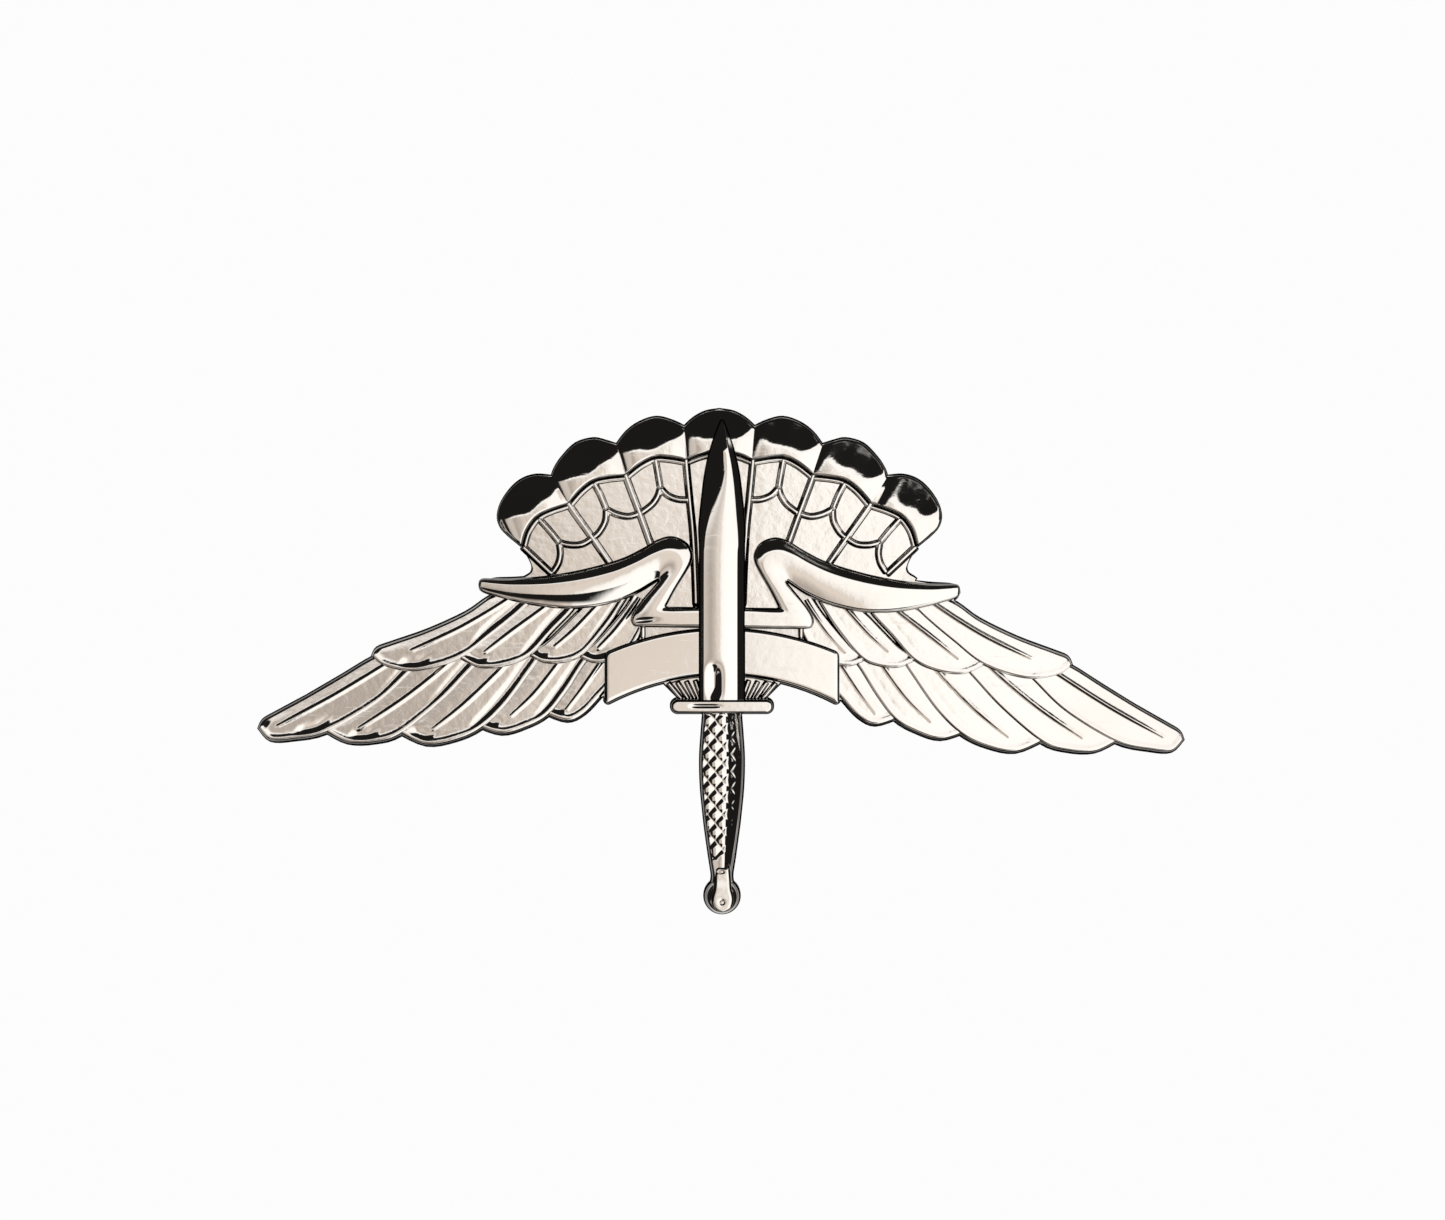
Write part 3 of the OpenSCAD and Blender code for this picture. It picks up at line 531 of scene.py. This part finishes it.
# %% Dagger blade
BLADE_EDGE = [[1, -2.78], [1, -1], [1, 2], [1, 5], [1, 6.2], [1.03, 7.2], [0.97, 8.2], [0.89, 9.2], 
              [0.8, 10.2], [0.66, 11.2], [0.5, 12], [0.3, 12.8], [0.13, 13.4], [0.03, 13.62]]
FLAT_LEFT = [[-1.12, -2.78], [-1.12, 5], [-1.08, 6.2], [-1, 7], [-0.75, 8], [-0.42, 9], [-0.1, 10],
             [0.06, 11], [0.06, 12], [0.02, 13.62]]
FLAT_RIGHT = [[0.88, -2.78], [0.88, 5], [0.93, 6.2], [0.9, 7], [0.82, 8], [0.75, 9], [0.66, 10], [0.52, 11],
              [0.32, 12], [0.06, 13.62]]
blade_half = (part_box("dagger_blade")[1][0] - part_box("dagger_blade")[0][0]) / MM / 2 / 1.03


def along_dagger(edge, z):
    """The x of a drawn edge at each height z."""
    curve = smooth(edge, 10)
    return np.interp(z, curve[:, 1], curve[:, 0])


BLADE_DENT, DENT_X, DENT_Z, DENT_WIDE, DENT_LONG = 0.2, -0.45, -1.7, 0.3, 0.85
BEVEL_SLOPE, BEVEL_STEP = 0.75, 0.08
BLADE_CROWN, POINT_DROP, POINT_START = 0.05, 0.95, 11.6


def blade_skin():
    """Across: foot edge, straight bevel, crowned flat, bevel, foot edge. The crown is a shallow parabola.

    A shallow dent lies in the flat above the guard, as a bell curve of x and z.
    """
    z = np.concatenate([np.linspace(-2.78, 6, 60), np.linspace(6.1, 13.6, 110)])
    half = along_dagger(BLADE_EDGE, z) * blade_half
    left, right = along_dagger(FLAT_LEFT, z), along_dagger(FLAT_RIGHT, z)
    bevel = np.linspace(0, 1, 8, endpoint=False)
    flat = np.linspace(0, 1, 22)
    x = np.hstack([-half[:, None] + (left + half)[:, None] * bevel,
                   left[:, None] + (right - left)[:, None] * flat,
                   half[:, None] + (right - half)[:, None] * bevel[::-1]])
    ramp = np.concatenate([bevel, np.ones(len(flat)), bevel[::-1]])[None, :]
    centre, reach = ((left + right) / 2)[:, None], np.maximum((right - left) / 2, 0.05)[:, None]
    crown = BLADE_CROWN * np.clip((x - centre) / np.maximum(reach, 0.3), -1, 1) ** 2 * (ramp == 1)
    lift = top_of("dagger_blade") - POINT_DROP * np.clip((z - POINT_START) / 2.0, 0, 1)[:, None] ** 2
    bevel_width = np.where(x < 0, (left + half)[:, None], (half - right)[:, None])
    off_x, off_z = (x - DENT_X) / DENT_WIDE, (z[:, None] - DENT_Z) / DENT_LONG
    dent = BLADE_DENT * np.exp(-(off_x**2) - off_z**4)
    slope = BEVEL_STEP + BEVEL_SLOPE * bevel_width * (1 - ramp)
    body = lift - np.where(ramp == 1, crown + dent, slope)
    plan = np.dstack([x, np.repeat(z[:, None], x.shape[1], 1)])
    return close_ring(on_badge(plan), body)


stand_for(build("blade", [blade_skin()]), "dagger_blade")

# %% [markdown]
# The guard is a flat-fronted bar with drawn-in ends and a fine slot. The grip is a swelling handle cut
# all over with diamond scales, and the pommel is a ball with a small tongue over its neck.

# %% Guard, grip and pommel
guard_low, guard_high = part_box("dagger_guard")
GUARD_EDGE, GUARD_DROP = 0.14, 0.3
GUARD_SLOT, SLOT_X, SLOT_LONG, SLOT_WIDE = 0.05, -0.95, 0.8, 0.08


def guard_skin():
    """A bar with half-round ends; its flat front drops as a quarter circle at every edge.

    A fine slot runs along the left half, as a bell curve of z.
    """
    low, high = np.array([guard_low[0], guard_low[2]]) / MM, np.array([guard_high[0], guard_high[2]]) / MM
    half, middle, deep = (high[0] - low[0]) / 2, (high[1] + low[1]) / 2, (high[1] - low[1]) / 2
    x = half * np.sin(np.linspace(-np.pi / 2, np.pi / 2, 90))
    end = np.clip((half - np.abs(x)) / 0.42, 0.0, 1)
    end = np.maximum(np.sqrt(1 - (1 - end) ** 2), 0.15)
    turn = np.linspace(-np.pi / 2, np.pi / 2, 25)
    z = middle + np.sin(turn)[None, :] * deep * end[:, None]
    plan = np.dstack([np.repeat(x[:, None], len(turn), 1), z])
    outline = np.vstack([plan[:, 0], plan[::-1, -1], plan[:1, 0]])
    edge = distance(plan, outline)
    along, across = (plan[..., 0] - SLOT_X) / SLOT_LONG, (plan[..., 1] - middle - 0.03) / SLOT_WIDE
    front = top_of("dagger_guard") - GUARD_SLOT * np.exp(-(along**6) - across**2)
    return close_ring(plan, front - GUARD_DROP * round_over(edge, GUARD_EDGE), gap=edge)


GRIP_EDGE = [[0.84, -3.4], [0.94, -4.9], [1, -6.3], [0.96, -8], [0.8, -10], [0.58, -12], [0.46, -13],
             [0.5, -13.5]]
SCALE_WIDE, SCALE_LONG, SCALE_RISE = 0.84, 1.0, 0.075
GRIP_SIDE, GRIP_CROWN, GRIP_FALL = 0.2, 0.08, 0.8
GRIP_RIM, GRIP_RIM_DROP = 0.16, 0.5
grip_half = (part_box("dagger_grip")[1][0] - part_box("dagger_grip")[0][0]) / MM / 2


def grip_skin():
    """A shallow crown on the left, a steep fall right of GRIP_SIDE, rounded edges and a diamond lattice.

    With s = x / half width: height = top - 0.08 s^2 - 0.8 ((s - side) / (1 - side))^1.15 - scales. Each
    scale is a pillow, |sin(pi (x / wide + z / long)) sin(pi (x / wide - z / long))|^0.7, and
    the scales fade out towards the right edge.
    """
    z = np.linspace(-3.45, -13.4, 300)
    half = along_dagger(GRIP_EDGE[::-1], z) * grip_half
    share = np.sin(np.linspace(-np.pi / 2, np.pi / 2, 71))[None, :]
    x = share * half[:, None]
    fall = GRIP_CROWN * share**2 + GRIP_FALL * np.clip((share - GRIP_SIDE) / (1 - GRIP_SIDE), 0, 1) ** 1.15
    edge = GRIP_RIM_DROP * round_over(half[:, None] * (1 - np.abs(share)), GRIP_RIM)
    across_x, along_z = x / SCALE_WIDE, (z[:, None] + 3.45) / SCALE_LONG
    pillow = np.abs(np.sin(np.pi * (across_x + along_z)) * np.sin(np.pi * (across_x - along_z))) ** 0.7
    pillow = 1 - (1 - pillow) * (1 - ease(share, 0.5, 0.72))
    fade = ease(z, -12.2, -11.6)[:, None] * ease(-z, 3.5, 3.7)[:, None]
    height = top_of("dagger_grip") - fall - edge - SCALE_RISE * (1 - pillow) * fade
    return close_ring(on_badge(np.dstack([x, np.repeat(z[:, None], x.shape[1], 1)])), height)


pommel_low, pommel_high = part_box("dagger_pommel")
BALL_FOOT, BALL_SINK = 0.55, 0.6


def pommel_skin():
    """A ball with a flattened front: height follows sqrt(1 - (r / R)^4)."""
    radius = (pommel_high[0] - pommel_low[0]) / 2 / MM
    centre = np.array([pommel_low[0] + pommel_high[0], pommel_low[2] + pommel_high[2]]) / 2 / MM
    z = radius * np.sin(np.linspace(-1, 1, 60) * 0.985 * np.pi / 2)
    half = np.sqrt(radius**2 - z**2)
    turn = np.linspace(-np.pi / 2, np.pi / 2, 41)
    x = np.sin(turn)[None, :] * half[:, None]
    plan = np.dstack([x, np.repeat(z[:, None], x.shape[1], 1)])
    out = np.clip(np.linalg.norm(plan, axis=-1) / radius, 0, 1)
    height = BALL_FOOT + (top_of("dagger_pommel") - BALL_SINK) * np.sqrt(1 - out**4)
    return close_ring(plan + centre, height)


TONGUE = [[0.34, -12.2], [0.44, -12.6], [0.5, -13.2], [0.54, -13.8], [0.64, -14.2], [0.66, -14.5],
          [0.52, -14.9], [0.2, -15.08]]
TONGUE_DROP, TONGUE_EDGE, TONGUE_STEP, TONGUE_LIFT = 0.3, 0.22, 0.36, 0.04
MARK_DEPTH = 0.2
MARKS = ((0.0, -14.55, 0.1, 0.1), (-0.1, -12.8, 0.16, 0.06))


def tongue_skin():
    """The neck runs on over the ball as a tongue; half its width follows a curve, and its rim rounds over.

    Its base rises out of the grip as a smooth step of z. It carries a round dimple and an oblong mark.
    """
    line = stations(smooth(TONGUE, 10), 80)
    share = np.sin(np.linspace(-np.pi / 2, np.pi / 2, 41))[None, :]
    plan = np.dstack([0.03 + share * line[:, :1], np.repeat(line[:, 1:], 41, 1)])
    edge = line[:, :1] * (1 - np.abs(share))
    grip_top, pommel_top = top_of("dagger_grip"), top_of("dagger_pommel")
    crest = grip_top - TONGUE_DROP + TONGUE_STEP * ease(-plan[..., 1], 12.1, 12.7)
    crest = crest + (pommel_top - grip_top + TONGUE_LIFT) * ease(-plan[..., 1], 13.1, 13.9)
    height = crest - TONGUE_DROP * round_over(edge, TONGUE_EDGE)
    for x, z, wide, long in MARKS:
        off_x, off_z = (plan[..., 0] - x) / wide, (plan[..., 1] - z) / long
        height = height - MARK_DEPTH * np.exp(-(off_x**2) - off_z**2)
    return close_ring(on_badge(plan), height, gap=edge)


stand_for(build("guard_bar", [guard_skin()]), "dagger_guard")
stand_for(build("scaled_grip", [grip_skin()]), "dagger_grip")
stand_for(build("ball_pommel", [pommel_skin(), tongue_skin()]), "dagger_pommel")

# %% [markdown]
# The backing plate keeps its measured outline. On the real badge the trimmed edge is tumbled before
# plating, so the copy of the plate gets a small bevel all round. Its bevel and rim are painted near black:
# painted dark reflection, standing in for the dark line the mirror shows where the plate's edge turns away.

# %% Backing plate
CHAMFER_WIDTH, CHAMFER_DEPTH = 0.12, 0.13
RIM_FACING, FRONT_FACING = 0.97, 0.99
SLACK = 1e-5


def chamfered_copy(node):
    """A merged copy of a frame plate: its front face is inset, and its old rim is pushed back."""
    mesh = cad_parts[node].data.copy()
    work = bmesh.new()
    work.from_mesh(mesh)
    bmesh.ops.remove_doubles(work, verts=work.verts, dist=1e-7)
    bmesh.ops.dissolve_limit(work, angle_limit=np.radians(1), verts=work.verts, edges=work.edges)
    work.faces.ensure_lookup_table()
    front = [f for f in work.faces
             if f.normal.y < -FRONT_FACING and f.calc_center_median().y < plate_low[1] + SLACK]
    bmesh.ops.inset_region(work, faces=front, thickness=CHAMFER_WIDTH * MM, use_even_offset=False)
    work.normal_update()
    rim = [v for v in work.verts
           if v.co.y < plate_low[1] + SLACK and any(abs(f.normal.y) < 0.5 for f in v.link_faces)]
    for vert in rim:
        vert.co.y += CHAMFER_DEPTH * MM
    print(len(front), "front face,", len(rim), "rim corners pushed back")
    work.to_mesh(mesh)
    work.free()
    made = bpy.data.objects.new(node + "_plated", mesh)
    bpy.context.scene.collection.objects.link(made)
    made.matrix_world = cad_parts[node].matrix_world
    return made


plate = chamfered_copy("backing_plate")
plate.data.materials.clear()
plate_normals = np.empty(len(plate.data.polygons) * 3)
plate.data.polygons.foreach_get("normal", plate_normals)
on_rim = np.abs(plate_normals.reshape(-1, 3)[:, 1]) < RIM_FACING
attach(plate, "badge")
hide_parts("backing_plate")
print("plate copy:", len(plate.data.vertices), "corners,", int(on_rim.sum()), "rim faces")

# %% [markdown]
# Between the foot of each arm and the tab the die leaves a small upright nib.

# %% Nibs
NIB_X, NIB_TOP, NIB_FOOT, NIB_WIDTH = 4.6, 1.6, 0.72, 0.34
NIB_LOW, NIB_RISE = 0.75, 0.25


def nib_skin(side):
    """A small upright pill: half width follows sqrt(1 - t^4) along z, height sqrt(cos(turn)) across."""
    t = np.linspace(-0.995, 0.995, 40)
    half = NIB_WIDTH / 2 * np.sqrt(1 - t**4)
    z = (NIB_TOP + NIB_FOOT) / 2 + t * (NIB_TOP - NIB_FOOT) / 2
    turn = np.linspace(-np.pi / 2, np.pi / 2, 21)
    plan = np.dstack([NIB_X + np.sin(turn)[None, :] * half[:, None], np.repeat(z[:, None], len(turn), 1)])
    dome = np.sqrt(np.abs(np.cos(turn))[None, :] * (half / NIB_WIDTH * 2)[:, None])
    return close_ring(on_badge(plan, side), NIB_LOW + NIB_RISE * dome)


nibs = build("nibs", [nib_skin(side) for side in (-1, 1)])
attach(nibs, "badge")

# %% [markdown]
# All front pieces share one finish: bright plating, polished to a mirror. A mirror is never even, so
# a noise group gives a faint grain, hairline scratches and a slow change of tone.

# %% Shader helpers
def new_group(name, inputs, outputs):
    """A shader node group with named sockets; inputs are (name, type, default)."""
    group = bpy.data.node_groups.new(name, "ShaderNodeTree")
    for label, kind, default in inputs:
        group.interface.new_socket(label, in_out="INPUT", socket_type=kind).default_value = default
    for label, kind in outputs:
        group.interface.new_socket(label, in_out="OUTPUT", socket_type=kind)
    return group, group.nodes.new("NodeGroupInput"), group.nodes.new("NodeGroupOutput")


def math(tree, operation, *values):
    """A Math node fed with numbers or sockets; gives its output."""
    node = tree.nodes.new("ShaderNodeMath")
    node.operation = operation
    for slot, value in zip(node.inputs, values):
        if isinstance(value, bpy.types.NodeSocket):
            tree.links.new(value, slot)
        else:
            slot.default_value = value
    return node.outputs[0]


def noise(tree, vector, scale, detail=2.0, rough=0.5):
    """A noise texture on the given coordinates; gives its value."""
    node = tree.nodes.new("ShaderNodeTexNoise")
    node.inputs["Detail"].default_value = detail
    node.inputs["Roughness"].default_value = rough
    tree.links.new(vector, node.inputs["Vector"])
    if isinstance(scale, bpy.types.NodeSocket):
        tree.links.new(scale, node.inputs["Scale"])
    else:
        node.inputs["Scale"].default_value = scale
    return node.outputs["Fac"]


def ramp(tree, value, low, high, out_low=0.0, out_high=1.0):
    """A smooth Map Range from low..high to out_low..out_high."""
    node = tree.nodes.new("ShaderNodeMapRange")
    node.interpolation_type = "SMOOTHSTEP"
    tree.links.new(value, node.inputs["Value"])
    for label, number in (("From Min", low), ("From Max", high), ("To Min", out_low), ("To Max", out_high)):
        node.inputs[label].default_value = number
    return node.outputs["Result"]


print("shader helpers ready")

# %% Handling wear group
wear, wear_in, wear_out = new_group(
    "handling_wear",
    [("Grain Scale", "NodeSocketFloat", 1800.0), ("Scratch Scale", "NodeSocketFloat", 260.0)],
    [("Grain", "NodeSocketFloat"), ("Scratches", "NodeSocketFloat"), ("Cloud", "NodeSocketFloat")])
coords = wear.nodes.new("ShaderNodeTexCoord").outputs["Object"]
stretch_map = wear.nodes.new("ShaderNodeMapping")
stretch_map.inputs["Rotation"].default_value = (0.0, 0.6, 0.0)
stretch_map.inputs["Scale"].default_value = (1.0, 1.0, 14.0)
wear.links.new(coords, stretch_map.inputs["Vector"])
wear.links.new(noise(wear, coords, wear_in.outputs["Grain Scale"], 3.0), wear_out.inputs["Grain"])
streak = noise(wear, stretch_map.outputs["Vector"], wear_in.outputs["Scratch Scale"], 5.0, 0.7)
wear.links.new(ramp(wear, streak, 0.60, 0.74), wear_out.inputs["Scratches"])
wear.links.new(noise(wear, coords, 90.0, 2.0), wear_out.inputs["Cloud"])
print("group handling_wear:", len(wear.nodes), "nodes")


# %% [markdown]
# Painted shade: a dark line is painted along the foot and rounded rim of every piece and on both sides of
# every seam, standing in for the shade and dark reflection at edges and in crevices. The group turns the rim
# gap into a mask, and a noise makes the painted dark line thin and thick.

# %% Painted edge shade group
# painted shade: this mask marks where edges and crevices are painted dark
edge_shade, edge_shade_in, edge_shade_out = new_group(
    "painted_edge_shade",
    [("Gap", "NodeSocketFloat", 1.0), ("Reach", "NodeSocketFloat", 0.07)],
    [("Mask", "NodeSocketFloat")])
uneven = noise(edge_shade, edge_shade.nodes.new("ShaderNodeTexCoord").outputs["Object"], 700.0, 3.0)
reach = math(edge_shade, "MULTIPLY", edge_shade_in.outputs["Reach"], math(edge_shade, "ADD", uneven, 0.5))
nearness = ramp(edge_shade, math(edge_shade, "DIVIDE", edge_shade_in.outputs["Gap"], reach), 0.55, 1.1, 1.0, 0.0)
edge_shade.links.new(nearness, edge_shade_out.inputs["Mask"])
print("group painted_edge_shade:", len(edge_shade.nodes), "nodes")


# %% Materials
# the near-black painted along edges and seams as shade and dark reflection
PAINTED_SHADE_COLOUR = (0.030, 0.027, 0.024, 1.0)
SCRATCH_BLUR, BUMP_HEIGHT = 0.10, 0.02


def metal(name, colour, dark, rough, rough_swing, grain, scratch, shade_reach=None):
    """Metal with the wear group: tone by cloud, roughness and bump by grain and scratches.

    With a shade reach in mm, painted shade darkens the edges by the rim gap kept on the mesh.
    """
    material = bpy.data.materials.new(name)
    material.use_nodes = True
    tree = material.node_tree
    shader = tree.nodes["Principled BSDF"]
    shader.inputs["Metallic"].default_value = 1.0
    group = tree.nodes.new("ShaderNodeGroup")
    group.node_tree = wear
    tone = tree.nodes.new("ShaderNodeMix")
    tone.data_type = "RGBA"
    tone.inputs["A"].default_value = (*dark, 1)
    tone.inputs["B"].default_value = (*colour, 1)
    tree.links.new(ramp(tree, group.outputs["Cloud"], 0.35, 0.6), tone.inputs["Factor"])
    surface = tone.outputs["Result"]
    # painted shade and dark reflection: the colour turns near black close to every edge and seam foot
    if shade_reach:
        gap = tree.nodes.new("ShaderNodeAttribute")
        gap.attribute_name = "rim_gap"
        edges = tree.nodes.new("ShaderNodeGroup")
        edges.node_tree = edge_shade
        edges.inputs["Reach"].default_value = shade_reach
        tree.links.new(gap.outputs["Fac"], edges.inputs["Gap"])
        edge_shaded = tree.nodes.new("ShaderNodeMix")
        edge_shaded.data_type = "RGBA"
        edge_shaded.inputs["B"].default_value = PAINTED_SHADE_COLOUR
        tree.links.new(edges.outputs["Mask"], edge_shaded.inputs["Factor"])
        tree.links.new(surface, edge_shaded.inputs["A"])
        surface = edge_shaded.outputs["Result"]
    tree.links.new(surface, shader.inputs["Base Color"])
    blur = math(tree, "MULTIPLY", group.outputs["Cloud"], rough_swing)
    blur = math(tree, "ADD", blur, rough)
    blur = math(tree, "ADD", blur, math(tree, "MULTIPLY", group.outputs["Scratches"], SCRATCH_BLUR))
    tree.links.new(blur, shader.inputs["Roughness"])
    relief = math(tree, "SUBTRACT", math(tree, "MULTIPLY", group.outputs["Grain"], grain),
                  math(tree, "MULTIPLY", group.outputs["Scratches"], scratch))
    bump = tree.nodes.new("ShaderNodeBump")
    bump.inputs["Strength"].default_value = 1.0
    bump.inputs["Distance"].default_value = BUMP_HEIGHT * MM
    tree.links.new(relief, bump.inputs["Height"])
    tree.links.new(bump.outputs["Normal"], shader.inputs["Normal"])
    return material


NICKEL = (0.90, 0.88, 0.86)
# both nickel finishes carry the painted edge shade
mirror_nickel = metal("mirror_nickel", NICKEL, (0.87, 0.845, 0.82), rough=0.02, rough_swing=0.04,
                      grain=0.12, scratch=0.05, shade_reach=0.12)
grained_nickel = metal("grained_nickel", NICKEL, (0.85, 0.825, 0.80), rough=0.04, rough_swing=0.06,
                       grain=0.45, scratch=0.08, shade_reach=0.08)
struck_plate = metal("struck_plate", (0.86, 0.84, 0.82), (0.78, 0.76, 0.74), rough=0.08, rough_swing=0.10,
                     grain=0.6, scratch=0.1)
# painted dark reflection: the plate's bevel and rim get a near-black colour
painted_dark_rim = metal("painted_dark_rim", (0.07, 0.066, 0.062), (0.04, 0.038, 0.036), rough=0.2, rough_swing=0.15,
                    grain=0.6, scratch=0.3)
post_wire = metal("post_wire", (0.72, 0.71, 0.70), (0.62, 0.61, 0.60), rough=0.18, rough_swing=0.1, grain=0.3,
                  scratch=0.5)
stamped_brass = metal("stamped_brass", (0.86, 0.66, 0.30), (0.78, 0.56, 0.22), rough=0.14, rough_swing=0.1,
                      grain=0.35, scratch=0.5)

GRAINED = ("puffed_canopy", "left_lower_feather_row", "right_lower_feather_row", "left_upper_feather_row",
           "right_upper_feather_row")
for piece in [o for o in bpy.data.objects if o.type == "MESH" and not o.data.materials]:
    piece.data.materials.append(struck_plate if piece == plate else
                                grained_nickel if piece.name in GRAINED else mirror_nickel)
# the plate's rim faces take the painted dark reflection
plate.data.materials.append(painted_dark_rim)
plate.data.polygons.foreach_set("material_index", on_rim.astype(np.int32))
for node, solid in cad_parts.items():
    finish = post_wire if node.endswith("post") else stamped_brass if "clutch" in node else mirror_nickel
    for slot in solid.material_slots:
        slot.material = finish
print("materials:", ", ".join(m.name for m in bpy.data.materials))

# %% [markdown]
# A mirror shows its surroundings, so the studio is part of the finish. Seen by the camera the
# surroundings are plain pale. Seen in the metal they are a soft card in front, beige on the left and
# white on the right, a bright sweep below, and darkness above and to the sides.

# %% Studio
world = bpy.data.worlds.new("studio")
bpy.context.scene.world = world
world.use_nodes = True
sky = world.node_tree
sky.nodes.clear()
direction = sky.nodes.new("ShaderNodeTexCoord").outputs["Generated"]
split = sky.nodes.new("ShaderNodeSeparateXYZ")
sky.links.new(direction, split.inputs[0])
to_right, to_back, to_top = split.outputs


def blend_colour(tree, factor, first, second):
    """Mixes two colours, each a number triple or a socket."""
    node = tree.nodes.new("ShaderNodeMix")
    node.data_type = "RGBA"
    tree.links.new(factor, node.inputs["Factor"])
    for label, value in (("A", first), ("B", second)):
        if isinstance(value, bpy.types.NodeSocket):
            tree.links.new(value, node.inputs[label])
        else:
            node.inputs[label].default_value = (*value, 1)
    return node.outputs["Result"]


DARK, GREY, PALE = (0.012, 0.011, 0.010), (0.6, 0.58, 0.56), (0.98, 0.98, 0.98)
CARD_STOPS = [
    (-0.94, DARK), (-0.9, (0.42, 0.39, 0.36)), (-0.7, (0.42, 0.39, 0.36)), (-0.66, DARK), (-0.5, DARK),
    (-0.42, (0.60, 0.54, 0.48)), (-0.2, (0.70, 0.63, 0.56)), (-0.11, (0.46, 0.40, 0.35)),
    (-0.06, (0.62, 0.55, 0.49)), (-0.025, (0.84, 0.75, 0.66)), (-0.004, (0.80, 0.72, 0.64)),
    (0.006, (0.98, 0.93, 0.87)), (0.02, (1.12, 1.08, 1.02)), (0.06, (1.2, 1.17, 1.12)),
    (0.84, (1.2, 1.17, 1.12)), (0.92, DARK)]
WHITE_CARD = (1.12, 1.09, 1.05)
SMUDGE_RIGHT, SMUDGE_TOP = 0.42, 0.72


def colour_ramp(tree, value, stops, low=-1.0, high=1.0):
    """A ColorRamp over low..high with the given (place, colour) stops."""
    node = tree.nodes.new("ShaderNodeValToRGB")
    bar = node.color_ramp
    while len(bar.elements) < len(stops):
        bar.elements.new(0.5)
    for element, (place, colour) in zip(bar.elements, stops):
        element.position = (place - low) / (high - low)
        element.color = (*colour, 1)
    scaled = tree.nodes.new("ShaderNodeMapRange")
    scaled.inputs["From Min"].default_value, scaled.inputs["From Max"].default_value = low, high
    tree.links.new(value, scaled.inputs["Value"])
    tree.links.new(scaled.outputs["Result"], node.inputs["Fac"])
    return node.outputs["Color"]


card = colour_ramp(sky, to_right, CARD_STOPS)
card = blend_colour(sky, ramp(sky, to_top, -0.01, 0.13), card, WHITE_CARD)
card = blend_colour(sky, ramp(sky, to_right, 0.82, 0.92), card, DARK)
lean = math(sky, "SUBTRACT", to_top, math(sky, "MULTIPLY", to_right, 0.5))
card = blend_colour(sky, ramp(sky, lean, 0.18, 0.24), card, DARK)
streak_map = sky.nodes.new("ShaderNodeMapping")
streak_map.inputs["Rotation"].default_value = (0.0, 0.7, 0.0)
streak_map.inputs["Scale"].default_value = (1.0, 1.0, 5.0)
sky.links.new(direction, streak_map.inputs["Vector"])
streaks = noise(sky, streak_map.outputs["Vector"], 9.0, 4.0)
smudge = math(sky, "ADD", math(sky, "POWER", math(sky, "SUBTRACT", to_right, SMUDGE_RIGHT), 2.0),
              math(sky, "POWER", math(sky, "SUBTRACT", to_top, SMUDGE_TOP), 2.0))
smear = math(sky, "MULTIPLY", ramp(sky, smudge, 0.0, 0.03, 0.6, 0.0), ramp(sky, streaks, 0.45, 0.65))
card = blend_colour(sky, smear, card, WHITE_CARD)
flag = math(sky, "MULTIPLY", ramp(sky, to_right, 0.06, 0.18, 1.0, 0.0), ramp(sky, to_right, -0.5, -0.4))
flag = math(sky, "MULTIPLY", flag, ramp(sky, to_top, -0.42, -0.38, 1.0, 0.0))
flag = math(sky, "MULTIPLY", flag, ramp(sky, to_top, -0.92, -0.75))
card = blend_colour(sky, flag, card, DARK)
card = blend_colour(sky, ramp(sky, to_top, -0.99, -0.94, 1.0, 0.0), card, DARK)
card = blend_colour(sky, ramp(sky, to_back, -0.2, 0.1), card, DARK)
card = blend_colour(sky, ramp(sky, to_back, 0.55, 0.8), card, GREY)
seen_directly = sky.nodes.new("ShaderNodeLightPath").outputs["Is Camera Ray"]
shown = blend_colour(sky, seen_directly, card, PALE)
background = sky.nodes.new("ShaderNodeBackground")
sky.links.new(shown, background.inputs["Color"])
sky.links.new(background.outputs[0], sky.nodes.new("ShaderNodeOutputWorld").inputs["Surface"])

FLOOR_GAP = 0.018
floor_mesh = bpy.data.meshes.new("studio_floor")
FLOOR_HALF, level = 3.0, frame_low[2] - FLOOR_GAP
corners = [(x * FLOOR_HALF, y * FLOOR_HALF, level) for x, y in ((-1, -1), (1, -1), (1, 1), (-1, 1))]
floor_mesh.from_pydata(corners, [], [(0, 1, 2, 3)])
floor = bpy.data.objects.new("studio_floor", floor_mesh)
bpy.context.scene.collection.objects.link(floor)
floor.visible_glossy = False
floor.visible_diffuse = False
floor_paint = bpy.data.materials.new("pale_floor")
floor_paint.use_nodes = True
paint = floor_paint.node_tree.nodes["Principled BSDF"].inputs
paint["Base Color"].default_value = (0, 0, 0, 1)
paint["Specular IOR Level"].default_value = 0.0
paint["Emission Color"].default_value = (*PALE, 1)
paint["Emission Strength"].default_value = 1.0
floor_mesh.materials.append(floor_paint)
bpy.context.scene.view_settings.view_transform = "Standard"
print("floor at", round(level * 1000, 1), "mm")

# %% Camera
CAMERA_LENS, CAMERA_DISTANCE = 100.0, 0.23446
VIEW_CENTRE = (0.00003, 0.00244)
camera_data = bpy.data.cameras.new("camera")
camera_data.lens = CAMERA_LENS
camera_data.clip_start = 0.01
camera = bpy.data.objects.new("camera", camera_data)
camera.location = (VIEW_CENTRE[0], -CAMERA_DISTANCE - plate_front * MM, VIEW_CENTRE[1])
camera.rotation_euler = (np.pi / 2, 0, 0)
bpy.context.scene.collection.objects.link(camera)
bpy.context.scene.camera = camera
print("camera", round(CAMERA_DISTANCE * 1000), "mm from the badge")
